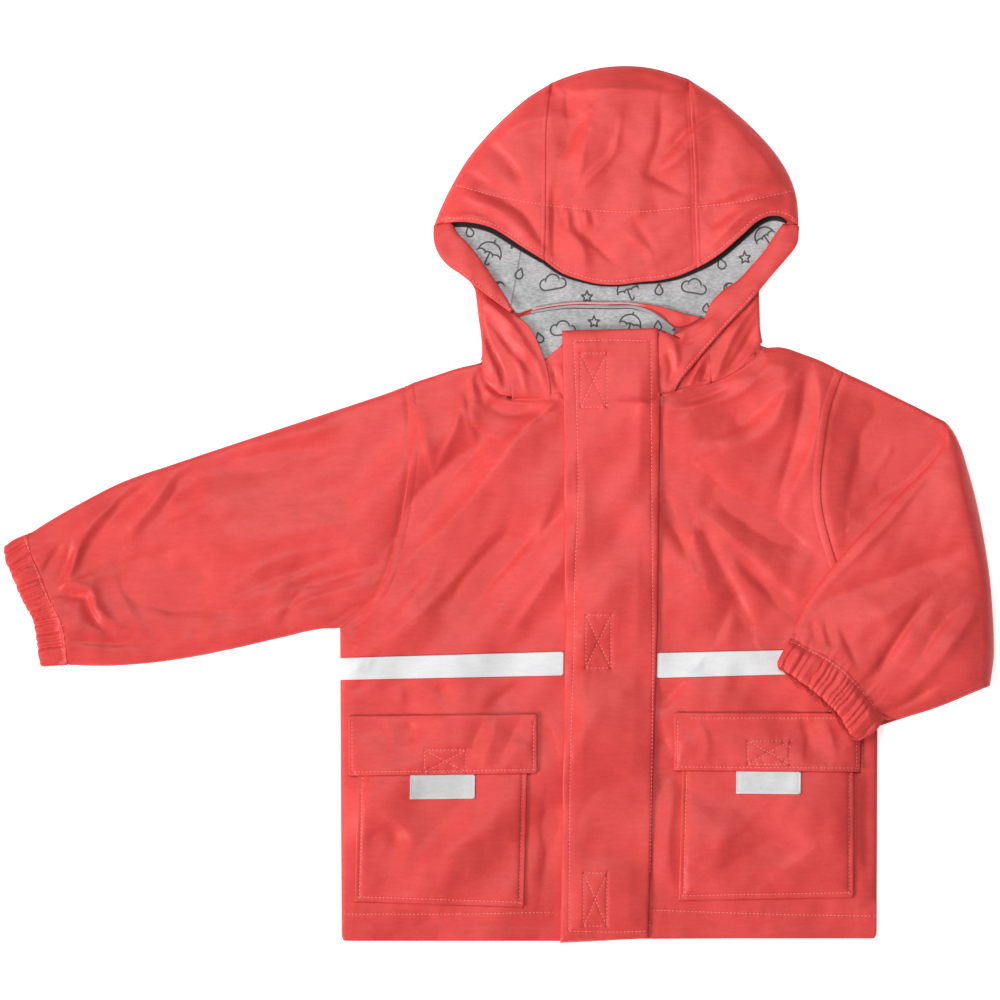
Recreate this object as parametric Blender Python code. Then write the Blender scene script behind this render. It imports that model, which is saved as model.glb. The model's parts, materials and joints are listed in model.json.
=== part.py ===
"""A child's hooded rain jacket, laid flat with its front up.

The jacket is sewn from one lined, coated cloth. Its right sleeve (-X) is spread out, and its left sleeve
(+X) is folded at the elbow, back over the front. +X runs across the body, +Y from the hem to the hood and
+Z up from the surface it lies on. Sizes are in metres. Plan positions count from the middle of the hem
until the finished jacket is centred on its origin, and "right" and "left" are the wearer's.
"""

import bmesh
import bpy
import numpy as np

# Cloth and layers
CLOTH = 0.0016  # one layer of lined, coated cloth
SEAM_GAP = 0.0003  # clearance between two layers that touch
SEAM_SIDE = 0.0005  # clearance between two panels that meet edge to edge
CUFF_SIDE = 0.0012  # clearance between a sleeve and its gathered cuff
PLACKET_CLOTH = 0.0024  # the storm flap is two layers thick
TAPE_CLOTH = 0.0008
LABEL_CLOTH = 0.0007
PAIR = CLOTH + SEAM_GAP + CLOTH  # top of two panels pressed together

# How far the cloth stands up where it isn't pressed
BODY_LIFT = 0.0036
BODY_ROUND = 0.034  # the lift is reached this far in from a folded edge
HEM_LIFT_SHARE = 0.35
HEM_ROUND = 0.060
CROWN_LIFT = 0.0112
CROWN_ROUND = 0.048
FOREARM_LIFT = 0.0032
POCKET_BULGE = 0.0022
POCKET_MOUTH, POCKET_FLATNESS = 0.75, 0.6
FOLD_FADE = 0.012  # folds die away this close to a folded edge
CUFF_GATHERS = 14
CUFF_WAVE = 0.0011
CUFF_SHARE = 0.6  # the cuff's share of the sleeve's lift
CUFF_ROUND, CUFF_SIDE_SHARE = 0.175, 0.45  # how far in a cuff is round, and its height at its sides

# Grid density
SLEEVE_SECTIONS, SLEEVE_ACROSS = 17, 13
UNDER_STEPS = 3  # more points across the folded sleeve, past its armhole
UPPER_SECTIONS, FOREARM_SECTIONS = 9, 14
FOLD_WRAP, FOLD_STEP = 0.012, 0.07  # where along the forearm its elbow fold has turned over, and lies flat
REST_REACH, CUFF_REACH = 0.018, 0.009  # a folded layer rests on the highest cloth this near
FOLD_HEIGHT, FOLD_SHARE = 0.5, 0.75  # heights of the forearm's turned-over end, as shares of those beside it
REST_ROUNDS = 8
CUFF_SECTIONS = 3
PLACKET_TOP_ROWS = 4
CROWDING = 0.6
CURVE_STEPS = 10  # points on each span of a smooth seam
SIDE_GRID, CENTRE_GRID = (10, 9), (14, 9)
LINING_GRID, FACING_GRID = (6, 13), (4, 8)
CROWN_CORNER = 7  # this many points of the hood's outline are its side, and the rest its top

# Seams and edges of the plan, each a short run of points that a smooth line passes through
ARMHOLE_RIGHT = ((-0.1904, 0.2184), (-0.1680, 0.2366), (-0.1575, 0.2562), (-0.1491, 0.2884),
                 (-0.1435, 0.3206), (-0.1414, 0.3633), (-0.1442, 0.3885))
ARMHOLE_LEFT = ((0.1862, 0.2170), (0.1750, 0.2296), (0.1638, 0.2485), (0.1547, 0.2716),
                (0.1498, 0.2891), (0.1463, 0.3073), (0.1484, 0.3451), (0.1540, 0.3766),
                (0.1617, 0.3976))
SHOULDER_RIGHT = ((-0.1442, 0.3885), (-0.1204, 0.3962), (-0.1064, 0.4007), (-0.0920, 0.4039))
NECK_RIGHT = ((-0.0920, 0.4039), (-0.0896, 0.3857), (-0.0805, 0.3794), (-0.0714, 0.3784),
              (-0.0340, 0.3780))
NECK_LEFT = ((0.0336, 0.3766), (0.0441, 0.3790), (0.0546, 0.3826), (0.0693, 0.3885), (0.0840, 0.3920),
             (0.0980, 0.3990), (0.1046, 0.4049), (0.1067, 0.4144))
SHOULDER_LEFT = ((0.1067, 0.4144), (0.1120, 0.4154), (0.1232, 0.4137), (0.1316, 0.4109),
                 (0.1449, 0.4060), (0.1617, 0.3976))
BACK_NECK = ((0.1064, 0.4154), (0.0861, 0.4256), (0.0644, 0.4354), (0.0231, 0.4445), (-0.0280, 0.4459),
             (-0.0574, 0.4410), (-0.0784, 0.4242), (-0.0920, 0.4049))
SLEEVE_TOP = ((-0.1442, 0.3885), (-0.1771, 0.3776), (-0.2198, 0.3636), (-0.2632, 0.3493),
              (-0.3052, 0.3353), (-0.3444, 0.3216), (-0.3724, 0.3073), (-0.3969, 0.2933),
              (-0.4088, 0.2856))
SLEEVE_UNDER = ((-0.1904, 0.2184), (-0.2009, 0.2180), (-0.2324, 0.2114), (-0.2639, 0.2041),
                (-0.2954, 0.1978), (-0.3269, 0.1935), (-0.3584, 0.1918), (-0.3801, 0.1925))
CUFF_RIGHT_SEAM = ((-0.4088, 0.2856), (-0.4067, 0.2730), (-0.3997, 0.2562), (-0.3920, 0.2366),
                   (-0.3843, 0.2219), (-0.3815, 0.2065), (-0.3801, 0.1925))
CUFF_RIGHT_EDGE = ((-0.4253, 0.2758), (-0.4249, 0.2674), (-0.4207, 0.2562), (-0.4151, 0.2429),
                   (-0.4116, 0.2352), (-0.4053, 0.2240), (-0.4032, 0.2135), (-0.4014, 0.2016),
                   (-0.4001, 0.1911))
UPPER_ARM_TOP = ((0.1617, 0.3976), (0.1750, 0.3916), (0.2030, 0.3780), (0.2226, 0.3682),
                 (0.2317, 0.3629))
UPPER_ARM_UNDER = ((0.1862, 0.2170), (0.1876, 0.1995), (0.1883, 0.1750), (0.1904, 0.1512))
UPPER_ARM_FOOT = ((0.1904, 0.1512), (0.2121, 0.1578), (0.2331, 0.1652), (0.2597, 0.1764))
UPPER_ARM_FOLD = ((0.2317, 0.3629), (0.2373, 0.3542), (0.2457, 0.3220), (0.2555, 0.2800),
                  (0.2611, 0.2380), (0.2625, 0.2030), (0.2597, 0.1764))
FOREARM_FOLD = ((0.2345, 0.3619), (0.2408, 0.3528), (0.2478, 0.3332), (0.2548, 0.3080),
                (0.2604, 0.2800), (0.2646, 0.2520), (0.2667, 0.2240), (0.2674, 0.1995),
                (0.2646, 0.1778))
FOREARM_INNER = ((0.2345, 0.3619), (0.2317, 0.3451), (0.2205, 0.3311), (0.2023, 0.3129),
                 (0.1834, 0.2926), (0.1652, 0.2737), (0.1533, 0.2597), (0.1365, 0.2366),
                 (0.1253, 0.2128))
FOREARM_OUTER = ((0.2646, 0.1778), (0.2541, 0.1736), (0.2331, 0.1648), (0.2100, 0.1572),
                 (0.1890, 0.1533))
CUFF_LEFT_SEAM = ((0.1253, 0.2128), (0.1344, 0.2065), (0.1456, 0.2009), (0.1589, 0.1883),
                  (0.1701, 0.1778), (0.1813, 0.1680), (0.1890, 0.1533))
CUFF_LEFT_EDGE = ((0.1148, 0.1932), (0.1274, 0.1841), (0.1393, 0.1750), (0.1505, 0.1652),
                  (0.1603, 0.1554), (0.1659, 0.1456), (0.1736, 0.1379))
HOOD_TOP_RIGHT = ((-0.1246, 0.4998), (-0.1218, 0.5075), (-0.1169, 0.5187), (-0.1099, 0.5320),
                  (-0.1015, 0.5460), (-0.0903, 0.5600), (-0.0770, 0.5740), (-0.0602, 0.5887),
                  (-0.0420, 0.6002))
HOOD_TOP_CENTRE = ((-0.0420, 0.6002), (-0.0259, 0.6062), (-0.0084, 0.6104), (0.0091, 0.6118),
                   (0.0266, 0.6104), (0.0406, 0.6069), (0.0532, 0.6027))
HOOD_TOP_LEFT = ((0.1305, 0.4991), (0.1302, 0.5096), (0.1291, 0.5194), (0.1253, 0.5320),
                 (0.1176, 0.5460), (0.1064, 0.5600), (0.0924, 0.5740), (0.0756, 0.5880),
                 (0.0532, 0.6027))
HOOD_SEAM_RIGHT = ((-0.0420, 0.6002), (-0.0455, 0.5740), (-0.0462, 0.5460), (-0.0462, 0.5145),
                   (-0.0469, 0.4753))
HOOD_SEAM_LEFT = ((0.0532, 0.6027), (0.0553, 0.5740), (0.0574, 0.5425), (0.0581, 0.5131),
                  (0.0595, 0.4704))
BRIM_RIGHT = ((-0.1246, 0.4998), (-0.1106, 0.5026), (-0.0973, 0.5019), (-0.0840, 0.4984),
              (-0.0742, 0.4928), (-0.0637, 0.4858), (-0.0469, 0.4753))
BRIM_CENTRE = ((-0.0469, 0.4753), (-0.0364, 0.4676), (-0.0238, 0.4627), (-0.0021, 0.4585),
               (0.0196, 0.4606), (0.0420, 0.4634), (0.0595, 0.4704))
BRIM_LEFT = ((0.1305, 0.4991), (0.1246, 0.5040), (0.1148, 0.5071), (0.1071, 0.5061), (0.0952, 0.4970),
             (0.0840, 0.4872), (0.0728, 0.4781), (0.0595, 0.4704))
HOOD_SIDE_RIGHT = ((-0.0917, 0.4053), (-0.0914, 0.4165), (-0.0938, 0.4340), (-0.0963, 0.4550),
                   (-0.1050, 0.4655), (-0.1155, 0.4725), (-0.1218, 0.4830), (-0.1246, 0.4921),
                   (-0.1246, 0.4998))
HOOD_SIDE_LEFT = ((0.1061, 0.4165), (0.1040, 0.4305), (0.1032, 0.4536), (0.1120, 0.4655),
                  (0.1211, 0.4767), (0.1288, 0.4872), (0.1305, 0.4991))
LINING_TOP = ((-0.1148, 0.5012), (-0.0924, 0.5117), (-0.0644, 0.5026), (-0.0364, 0.4844),
              (0.0000, 0.4760), (0.0420, 0.4816), (0.0756, 0.4998), (0.1036, 0.5152), (0.1225, 0.5033))
LINING_FOOT = ((-0.0665, 0.4379), (-0.0574, 0.4414), (-0.0280, 0.4462), (0.0021, 0.4462),
               (0.0231, 0.4449), (0.0357, 0.4424), (0.0469, 0.4389), (0.0651, 0.4354))
LINING_RIGHT = ((-0.1148, 0.5012), (-0.1050, 0.4900), (-0.0910, 0.4718), (-0.0763, 0.4494),
                (-0.0665, 0.4379))
LINING_LEFT = ((0.1225, 0.5033), (0.1162, 0.4900), (0.1036, 0.4746), (0.0861, 0.4564), (0.0721, 0.4445),
               (0.0651, 0.4354))
FACING_TOP = ((-0.0651, 0.4361), (-0.0574, 0.4382), (-0.0322, 0.4420), (-0.0063, 0.4417),
              (0.0231, 0.4403), (0.0357, 0.4340), (0.0448, 0.4256))
FACING_FOOT = ((-0.0448, 0.4011), (-0.0259, 0.4088), (0.0000, 0.4116), (0.0231, 0.4116),
               (0.0392, 0.4130))

# Columns of the front: the edge each one carries, its x at the hem and its x at the underarm
COLUMNS = (
    ("side_right", -0.1893, -0.1904),
    ("flap_right_outer", -0.1841, -0.1848),
    ("pocket_right_outer", -0.1809, -0.1757),
    ("pocket_right_a", -0.1617, -0.1582),
    ("label_right_outer", -0.1428, -0.1400),
    ("neck_right_outer", -0.1183, -0.1166),
    ("neck_right_inner", -0.1148, -0.1131),
    ("label_right_inner", -0.0973, -0.0945),
    ("pocket_right_b", -0.0791, -0.0756),
    ("pocket_right_inner", -0.0623, -0.0567),
    ("flap_right_inner", -0.0518, -0.0525),
    ("placket_right", -0.0364, -0.0329),
    ("placket_a", -0.0182, -0.0161),
    ("centre", -0.0042, 0.0000),
    ("placket_b", 0.0112, 0.0161),
    ("placket_left", 0.0252, 0.0318),
    ("flap_left_inner", 0.0420, 0.0441),
    ("pocket_left_inner", 0.0459, 0.0518),
    ("pocket_left_a", 0.0651, 0.0693),
    ("label_left_inner", 0.0864, 0.0875),
    ("neck_left_inner", 0.1162, 0.1183),
    ("neck_left_outer", 0.1197, 0.1211),
    ("label_left_outer", 0.1316, 0.1330),
    ("pocket_left_b", 0.1505, 0.1519),
    ("pocket_left_outer", 0.1691, 0.1694),
    ("flap_left_outer", 0.1729, 0.1746),
    ("side_left", 0.1852, 0.1862),
)

# Rows of the front below the underarm: the edge each one carries, and its y at the right side, at the
# placket's two edges and at the left side
ROWS = (
    ("hem", -0.0007, -0.0007, 0.0010, 0.0010),
    ("hem_stitch", 0.0182, 0.0189, 0.0203, 0.0168),
    ("pocket_foot", 0.0273, 0.0221, 0.0273, 0.0301),
    ("pocket_c", 0.0434, 0.0413, 0.0448, 0.0469),
    ("pocket_b", 0.0616, 0.0609, 0.0637, 0.0644),
    ("pocket_a", 0.0798, 0.0798, 0.0826, 0.0833),
    ("label_foot", 0.0980, 0.0994, 0.1029, 0.1015),
    ("flap_foot", 0.1148, 0.1169, 0.1187, 0.1176),
    ("pocket_mouth", 0.1372, 0.1386, 0.1400, 0.1393),
    ("flap_seam", 0.1568, 0.1585, 0.1593, 0.1589),
    ("belt", 0.1701, 0.1715, 0.1715, 0.1729),
    ("tape_foot", 0.1820, 0.1852, 0.1834, 0.1876),
    ("tape_head", 0.1974, 0.2019, 0.2009, 0.2044),
    ("underarm", 0.2184, 0.2170, 0.2170, 0.2170),
)
PLACKET_HEAD = ((-0.0350, 0.4266), (0.0322, 0.4284))  # top corners of the storm flap
PLACKET_DROP = 0.0014  # how far its lower corner hangs below the hem

# Sections of the narrow pieces: two edge points, then the height of the cloth's top at each of them
RIM_RIGHT = (  # outer x, outer y, inner x, inner y, outer top, inner top
    (-0.1250, 0.4984, -0.1113, 0.5009, 0.0050, 0.0056),
    (-0.1250, 0.4914, -0.1078, 0.4945, 0.0062, 0.0056),
    (-0.1229, 0.4830, -0.1015, 0.4883, 0.0072, 0.0056),
    (-0.1162, 0.4732, -0.0945, 0.4795, 0.0080, 0.0056),
    (-0.1064, 0.4662, -0.0882, 0.4711, 0.0084, 0.0056),
    (-0.0966, 0.4585, -0.0829, 0.4631, 0.0088, 0.0058),
    (-0.0868, 0.4508, -0.0780, 0.4557, 0.0088, 0.0066),
    (-0.0770, 0.4435, -0.0728, 0.4476, 0.0086, 0.0078),
    (-0.0707, 0.4389, -0.0689, 0.4406, 0.0082, 0.0082),
)
RIM_LEFT = (  # outer x, outer y, inner x, inner y, outer top, inner top
    (0.1309, 0.4977, 0.1197, 0.5015, 0.0050, 0.0056),
    (0.1298, 0.4879, 0.1141, 0.4939, 0.0066, 0.0056),
    (0.1218, 0.4767, 0.1078, 0.4840, 0.0078, 0.0056),
    (0.1120, 0.4655, 0.0980, 0.4725, 0.0084, 0.0058),
    (0.1029, 0.4543, 0.0882, 0.4620, 0.0088, 0.0060),
    (0.0952, 0.4452, 0.0770, 0.4543, 0.0090, 0.0062),
    (0.0861, 0.4357, 0.0693, 0.4459, 0.0090, 0.0068),
    (0.0805, 0.4298, 0.0644, 0.4344, 0.0090, 0.0072),
    (0.0728, 0.4210, 0.0532, 0.4291, 0.0090, 0.0074),
    (0.0658, 0.4130, 0.0427, 0.4235, 0.0090, 0.0074),
    (0.0595, 0.4053, 0.0367, 0.4263, 0.0090, 0.0076),
    (0.0539, 0.3987, 0.0343, 0.4193, 0.0090, 0.0078),
    (0.0486, 0.3920, 0.0343, 0.4053, 0.0088, 0.0078),
    (0.0455, 0.3864, 0.0344, 0.3920, 0.0084, 0.0076),
    (0.0434, 0.3805, 0.0347, 0.3779, 0.0076, 0.0074),
)
GORE_RIGHT = (  # seam x, seam y, front x, front y, seam top, front top
    (-0.0920, 0.4550, -0.0686, 0.4376, 0.0044, 0.0064),
    (-0.0910, 0.4445, -0.0637, 0.4347, 0.0048, 0.0066),
    (-0.0892, 0.4340, -0.0588, 0.4305, 0.0052, 0.0068),
    (-0.0854, 0.4221, -0.0532, 0.4214, 0.0056, 0.0070),
    (-0.0801, 0.4109, -0.0490, 0.4116, 0.0060, 0.0072),
    (-0.0756, 0.4011, -0.0462, 0.4039, 0.0062, 0.0074),
    (-0.0725, 0.3927, -0.0441, 0.3948, 0.0064, 0.0074),
    (-0.0711, 0.3850, -0.0430, 0.3864, 0.0066, 0.0074),
    (-0.0703, 0.3790, -0.0423, 0.3788, 0.0068, 0.0072),
)
REAR_RIGHT = (  # outer x, outer y, seam x, seam y, outer top, seam top
    (-0.0959, 0.4561, -0.0927, 0.4543, 0.0035, 0.0044),
    (-0.0945, 0.4445, -0.0917, 0.4445, 0.0035, 0.0048),
    (-0.0933, 0.4340, -0.0900, 0.4340, 0.0035, 0.0052),
    (-0.0916, 0.4221, -0.0861, 0.4221, 0.0035, 0.0056),
    (-0.0910, 0.4130, -0.0809, 0.4109, 0.0036, 0.0060),
    (-0.0909, 0.4046, -0.0763, 0.4011, 0.0040, 0.0062),
    (-0.0896, 0.3948, -0.0731, 0.3927, 0.0050, 0.0064),
    (-0.0847, 0.3864, -0.0717, 0.3857, 0.0058, 0.0066),
    (-0.0784, 0.3818, -0.0711, 0.3804, 0.0064, 0.0068),
)
GORE_LEFT = (  # front x, front y, seam x, seam y, front top, seam top
    (0.0668, 0.4168, 0.0686, 0.4175, 0.0064, 0.0064),
    (0.0616, 0.4109, 0.0688, 0.4109, 0.0066, 0.0066),
    (0.0553, 0.4032, 0.0690, 0.4032, 0.0066, 0.0066),
    (0.0497, 0.3955, 0.0693, 0.3966, 0.0066, 0.0066),
    (0.0469, 0.3892, 0.0697, 0.3927, 0.0066, 0.0066),
    (0.0459, 0.3809, 0.0700, 0.3898, 0.0066, 0.0066),
)
REAR_LEFT = (  # seam x, seam y, outer x, outer y, seam top, outer top
    (0.0994, 0.4518, 0.1029, 0.4529, 0.0058, 0.0036),
    (0.0924, 0.4452, 0.1032, 0.4438, 0.0064, 0.0036),
    (0.0840, 0.4361, 0.1035, 0.4340, 0.0064, 0.0036),
    (0.0770, 0.4284, 0.1037, 0.4249, 0.0064, 0.0036),
    (0.0700, 0.4186, 0.1040, 0.4151, 0.0064, 0.0038),
    (0.0699, 0.4095, 0.1022, 0.4092, 0.0066, 0.0048),
    (0.0701, 0.4004, 0.0952, 0.4022, 0.0066, 0.0058),
    (0.0707, 0.3945, 0.0833, 0.3958, 0.0066, 0.0066),
    (0.0714, 0.3906, 0.0766, 0.3924, 0.0066, 0.0066),
)
CHIN_RIGHT = (  # outer x, outer y, inner x, inner y, outer top, inner top
    (-0.0463, 0.4071, -0.0357, 0.4162, 0.0054, 0.0058),
    (-0.0447, 0.4018, -0.0353, 0.4060, 0.0056, 0.0062),
    (-0.0430, 0.3948, -0.0350, 0.3962, 0.0060, 0.0066),
    (-0.0419, 0.3864, -0.0348, 0.3864, 0.0066, 0.0070),
    (-0.0413, 0.3790, -0.0346, 0.3788, 0.0070, 0.0072),
)
PIPING = (  # upper x, upper y, lower x, lower y, upper top, lower top
    (-0.0560, 0.4424, -0.0560, 0.4409, 0.0054, 0.0054),
    (-0.0322, 0.4463, -0.0322, 0.4448, 0.0054, 0.0054),
    (-0.0063, 0.4467, -0.0063, 0.4448, 0.0054, 0.0054),
    (0.0231, 0.4453, 0.0231, 0.4431, 0.0054, 0.0054),
    (0.0357, 0.4431, 0.0364, 0.4371, 0.0054, 0.0054),
    (0.0469, 0.4396, 0.0455, 0.4291, 0.0054, 0.0054),
    (0.0630, 0.4357, 0.0518, 0.4301, 0.0054, 0.0054),
)
NECK_TAPE = (  # upper x, upper y, lower x, lower y, upper top, lower top
    (-0.0567, 0.4404, -0.0567, 0.4385, 0.0047, 0.0047),
    (-0.0322, 0.4442, -0.0322, 0.4424, 0.0047, 0.0047),
    (-0.0063, 0.4442, -0.0063, 0.4421, 0.0047, 0.0047),
    (0.0224, 0.4425, 0.0224, 0.4403, 0.0047, 0.0047),
    (0.0343, 0.4361, 0.0333, 0.4340, 0.0047, 0.0047),
    (0.0441, 0.4280, 0.0427, 0.4263, 0.0047, 0.0047),
)

STRIPS = (  # name, table, rows, columns, thickness, material
    ("rim_right", RIM_RIGHT, 13, 4, CLOTH, "coated_cloth"),
    ("rim_left", RIM_LEFT, 15, 4, CLOTH, "coated_cloth"),
    ("gore_right", GORE_RIGHT, 10, 5, CLOTH, "coated_cloth"),
    ("rear_right", REAR_RIGHT, 10, 3, CLOTH, "coated_cloth"),
    ("gore_left", GORE_LEFT, 6, 4, CLOTH, "coated_cloth"),
    ("rear_left", REAR_LEFT, 10, 5, CLOTH, "coated_cloth"),
    ("chin_right", CHIN_RIGHT, 6, 3, CLOTH, "coated_cloth"),
    ("neck_piping", PIPING, 10, 2, CLOTH, "coated_cloth"),
    ("neck_tape", NECK_TAPE, 10, 2, TAPE_CLOTH, "neck_tape"),
)

# The largest folds: each runs from one point to another, bowed sideways at its middle
BODY_FOLDS = (  # from x, from y, to x, to y, bow, width, height
    (-0.0910, 0.3458, -0.1456, 0.2688, 0.0056, 0.0070, -0.0026),
    (-0.0532, 0.3724, -0.1540, 0.2555, 0.0070, 0.0098, 0.0024),
    (-0.0735, 0.2940, -0.0994, 0.2226, 0.0042, 0.0056, -0.0018),
    (-0.0854, 0.2835, -0.1680, 0.2030, 0.0000, 0.0070, 0.0018),
    (-0.0392, 0.3115, -0.0868, 0.2422, 0.0042, 0.0070, 0.0018),
    (-0.0343, 0.2870, -0.0882, 0.2205, 0.0028, 0.0063, -0.0016),
    (-0.1015, 0.3920, -0.0924, 0.3542, -0.0042, 0.0042, -0.0018),
    (0.1260, 0.3934, 0.0616, 0.3500, -0.0070, 0.0077, -0.0022),
    (0.1071, 0.4018, 0.0546, 0.3696, -0.0042, 0.0056, 0.0018),
    (0.1288, 0.4060, 0.0868, 0.3332, -0.0098, 0.0091, 0.0022),
    (0.1358, 0.3990, 0.1169, 0.3136, 0.0056, 0.0056, -0.0018),
    (0.0658, 0.3262, 0.1316, 0.2870, -0.0042, 0.0070, -0.0020),
    (0.0630, 0.2996, 0.1400, 0.2422, -0.0028, 0.0077, 0.0020),
    (0.0658, 0.2940, 0.0966, 0.2240, -0.0028, 0.0056, -0.0022),
    (0.0903, 0.2625, 0.1281, 0.2268, 0.0000, 0.0049, -0.0016),
    (-0.0875, 0.1624, -0.0651, 0.1799, 0.0000, 0.0063, -0.0014),
    (0.0329, 0.1624, 0.0525, 0.1827, 0.0000, 0.0063, -0.0016),
)
SLEEVE_FOLDS = (  # from x, from y, to x, to y, bow, width, height
    (-0.3234, 0.3269, -0.3808, 0.2562, -0.0056, 0.0056, 0.0018),
    (-0.3220, 0.3178, -0.3724, 0.2646, -0.0042, 0.0056, -0.0018),
    (-0.2954, 0.3332, -0.3262, 0.2898, 0.0028, 0.0056, -0.0018),
    (-0.1939, 0.3444, -0.2541, 0.3367, 0.0000, 0.0070, -0.0012),
    (-0.1848, 0.2765, -0.2744, 0.2450, 0.0042, 0.0063, 0.0016),
    (-0.1834, 0.2716, -0.2674, 0.2380, 0.0056, 0.0063, -0.0018),
    (-0.3311, 0.2450, -0.2597, 0.2261, -0.0070, 0.0070, -0.0018),
    (-0.3535, 0.2576, -0.3269, 0.2107, -0.0028, 0.0063, 0.0020),
    (-0.3899, 0.2408, -0.3514, 0.2149, 0.0042, 0.0042, -0.0022),
    (-0.1939, 0.2205, -0.1652, 0.2366, 0.0000, 0.0049, -0.0018),
    (0.2023, 0.3752, 0.1540, 0.2905, -0.0070, 0.0077, -0.0022),
    (0.1988, 0.3486, 0.1862, 0.3234, 0.0000, 0.0077, 0.0016),
    (0.2044, 0.3150, 0.1596, 0.2814, -0.0035, 0.0056, 0.0014),
)
FOREARM_FOLDS = (  # from x, from y, to x, to y, bow, width, height
    (0.2478, 0.2716, 0.1351, 0.2324, 0.0042, 0.0070, -0.0016),
    (0.2177, 0.2366, 0.1743, 0.1778, 0.0028, 0.0056, -0.0026),
    (0.2436, 0.2345, 0.2156, 0.1967, 0.0021, 0.0056, -0.0018),
    (0.2534, 0.2289, 0.2023, 0.1666, 0.0028, 0.0070, 0.0022),
    (0.2135, 0.2233, 0.1939, 0.1932, 0.0000, 0.0056, 0.0016),
    (0.2254, 0.2548, 0.1666, 0.2177, 0.0000, 0.0084, 0.0016),
)
HOOD_FOLDS = (  # from x, from y, to x, to y, bow, width, height
    (-0.0182, 0.5796, -0.0343, 0.5446, 0.0000, 0.0063, -0.0020),
    (-0.0154, 0.5747, -0.0245, 0.5236, 0.0000, 0.0049, 0.0016),
    (0.0728, 0.5803, 0.0336, 0.5446, 0.0000, 0.0049, -0.0022),
    (-0.0882, 0.5607, -0.0595, 0.5180, -0.0042, 0.0049, -0.0016),
    (-0.1057, 0.5215, -0.0525, 0.4858, -0.0056, 0.0056, 0.0022),
    (-0.0917, 0.5229, -0.0490, 0.4872, -0.0056, 0.0049, -0.0018),
    (-0.0273, 0.4998, 0.0028, 0.4732, 0.0000, 0.0049, -0.0014),
    (0.0707, 0.4872, 0.1155, 0.5194, -0.0028, 0.0063, 0.0020),
    (0.0728, 0.5138, 0.1260, 0.5257, -0.0042, 0.0049, -0.0014),
)
POCKET_FOLDS = (  # from x, from y, to x, to y, bow, width, height
    (-0.1596, 0.0847, -0.1547, 0.0448, -0.0084, 0.0049, 0.0012),
    (-0.1022, 0.0651, -0.0623, 0.0602, -0.0028, 0.0063, -0.0010),
    (-0.1351, 0.0378, -0.1022, 0.0686, 0.0000, 0.0063, 0.0010),
    (0.0777, 0.0497, 0.1078, 0.0700, 0.0000, 0.0063, -0.0011),
    (0.0798, 0.0651, 0.1029, 0.0847, 0.0000, 0.0063, 0.0010),
)

# Colour, roughness and metallic value of each material
LOOKS = {
    "coated_cloth": ((0.74, 0.085, 0.080), 0.42, 0.0),
    "jersey_lining": ((0.46, 0.46, 0.47), 0.90, 0.0),
    "reflective_tape": ((0.84, 0.84, 0.85), 0.38, 0.15),
    "neck_tape": ((0.80, 0.80, 0.80), 0.70, 0.0),
    "label_satin": ((0.78, 0.79, 0.80), 0.50, 0.0),
}


def clear_scene():
    for item in list(bpy.data.objects):
        bpy.data.objects.remove(item)


def look(name):
    if name in bpy.data.materials:
        return bpy.data.materials[name]
    colour, roughness, metallic = LOOKS[name]
    material = bpy.data.materials.new(name)
    material.use_nodes = True
    shader = material.node_tree.nodes["Principled BSDF"]
    shader.inputs["Base Color"].default_value = (*colour, 1.0)
    shader.inputs["Roughness"].default_value = roughness
    shader.inputs["Metallic"].default_value = metallic
    return material


def smooth(points):
    """A smooth line through the points, as closely spaced points: a cubic with chord-length knots."""
    points = np.array(points, float)
    knots = np.concatenate([[0], np.cumsum(np.linalg.norm(np.diff(points, axis=0), axis=1))])
    slopes = np.gradient(points, knots, axis=0) if len(points) > 2 else np.diff(points, axis=0) / knots[-1]
    slopes = np.broadcast_to(slopes, points.shape)
    line = [points[0]]
    for i in range(len(points) - 1):
        span = knots[i + 1] - knots[i]
        for t in np.arange(1, CURVE_STEPS + 1) / CURVE_STEPS:
            line.append(
                (2 * t**3 - 3 * t**2 + 1) * points[i]
                + (t**3 - 2 * t**2 + t) * span * slopes[i]
                + (3 * t**2 - 2 * t**3) * points[i + 1]
                + (t**3 - t**2) * span * slopes[i + 1]
            )
    return np.array(line)


def spread(line, stations):
    """Points of a line at fractions of its length."""
    length = np.concatenate([[0], np.cumsum(np.linalg.norm(np.diff(line, axis=0), axis=1))])
    at = np.asarray(stations) * length[-1]
    return np.stack([np.interp(at, length, line[:, k]) for k in range(line.shape[1])], axis=-1)


def even(count):
    return np.linspace(0, 1, count)


def edged(count):
    """Fractions from 0 to 1 that crowd a little towards both ends, so that a folded edge is round."""
    return even(count) + ((1 - np.cos(np.pi * even(count))) / 2 - even(count)) * CROWDING


def patch(near, far, start, end, along, across):
    """A grid between four smooth lines. near and far run along it, and start and end run across it."""
    u, v = np.asarray(along)[:, None, None], np.asarray(across)[None, :, None]
    a, b = spread(near, along)[:, None], spread(far, along)[:, None]
    c, d = spread(start, across)[None], spread(end, across)[None]
    corners = (1 - u) * ((1 - v) * a[:1] + v * b[:1]) + u * ((1 - v) * a[-1:] + v * b[-1:])
    return (1 - v) * a + v * b + (1 - u) * c + u * d - corners


def sections(table, along, across):
    """A grid of (x, y, top) from a table of sections, smooth from one section to the next."""
    table = np.array(table, float)
    edges = []
    for columns in ([0, 1, 4], [2, 3, 5]):
        line = smooth(table[:, columns])
        at = np.asarray(along) * (len(line) - 1)
        edges.append(np.stack([np.interp(at, np.arange(len(line)), line[:, k]) for k in range(3)], axis=-1))
    v = np.asarray(across)[None, :, None]
    return (1 - v) * edges[0][:, None] + v * edges[1][:, None]


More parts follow.
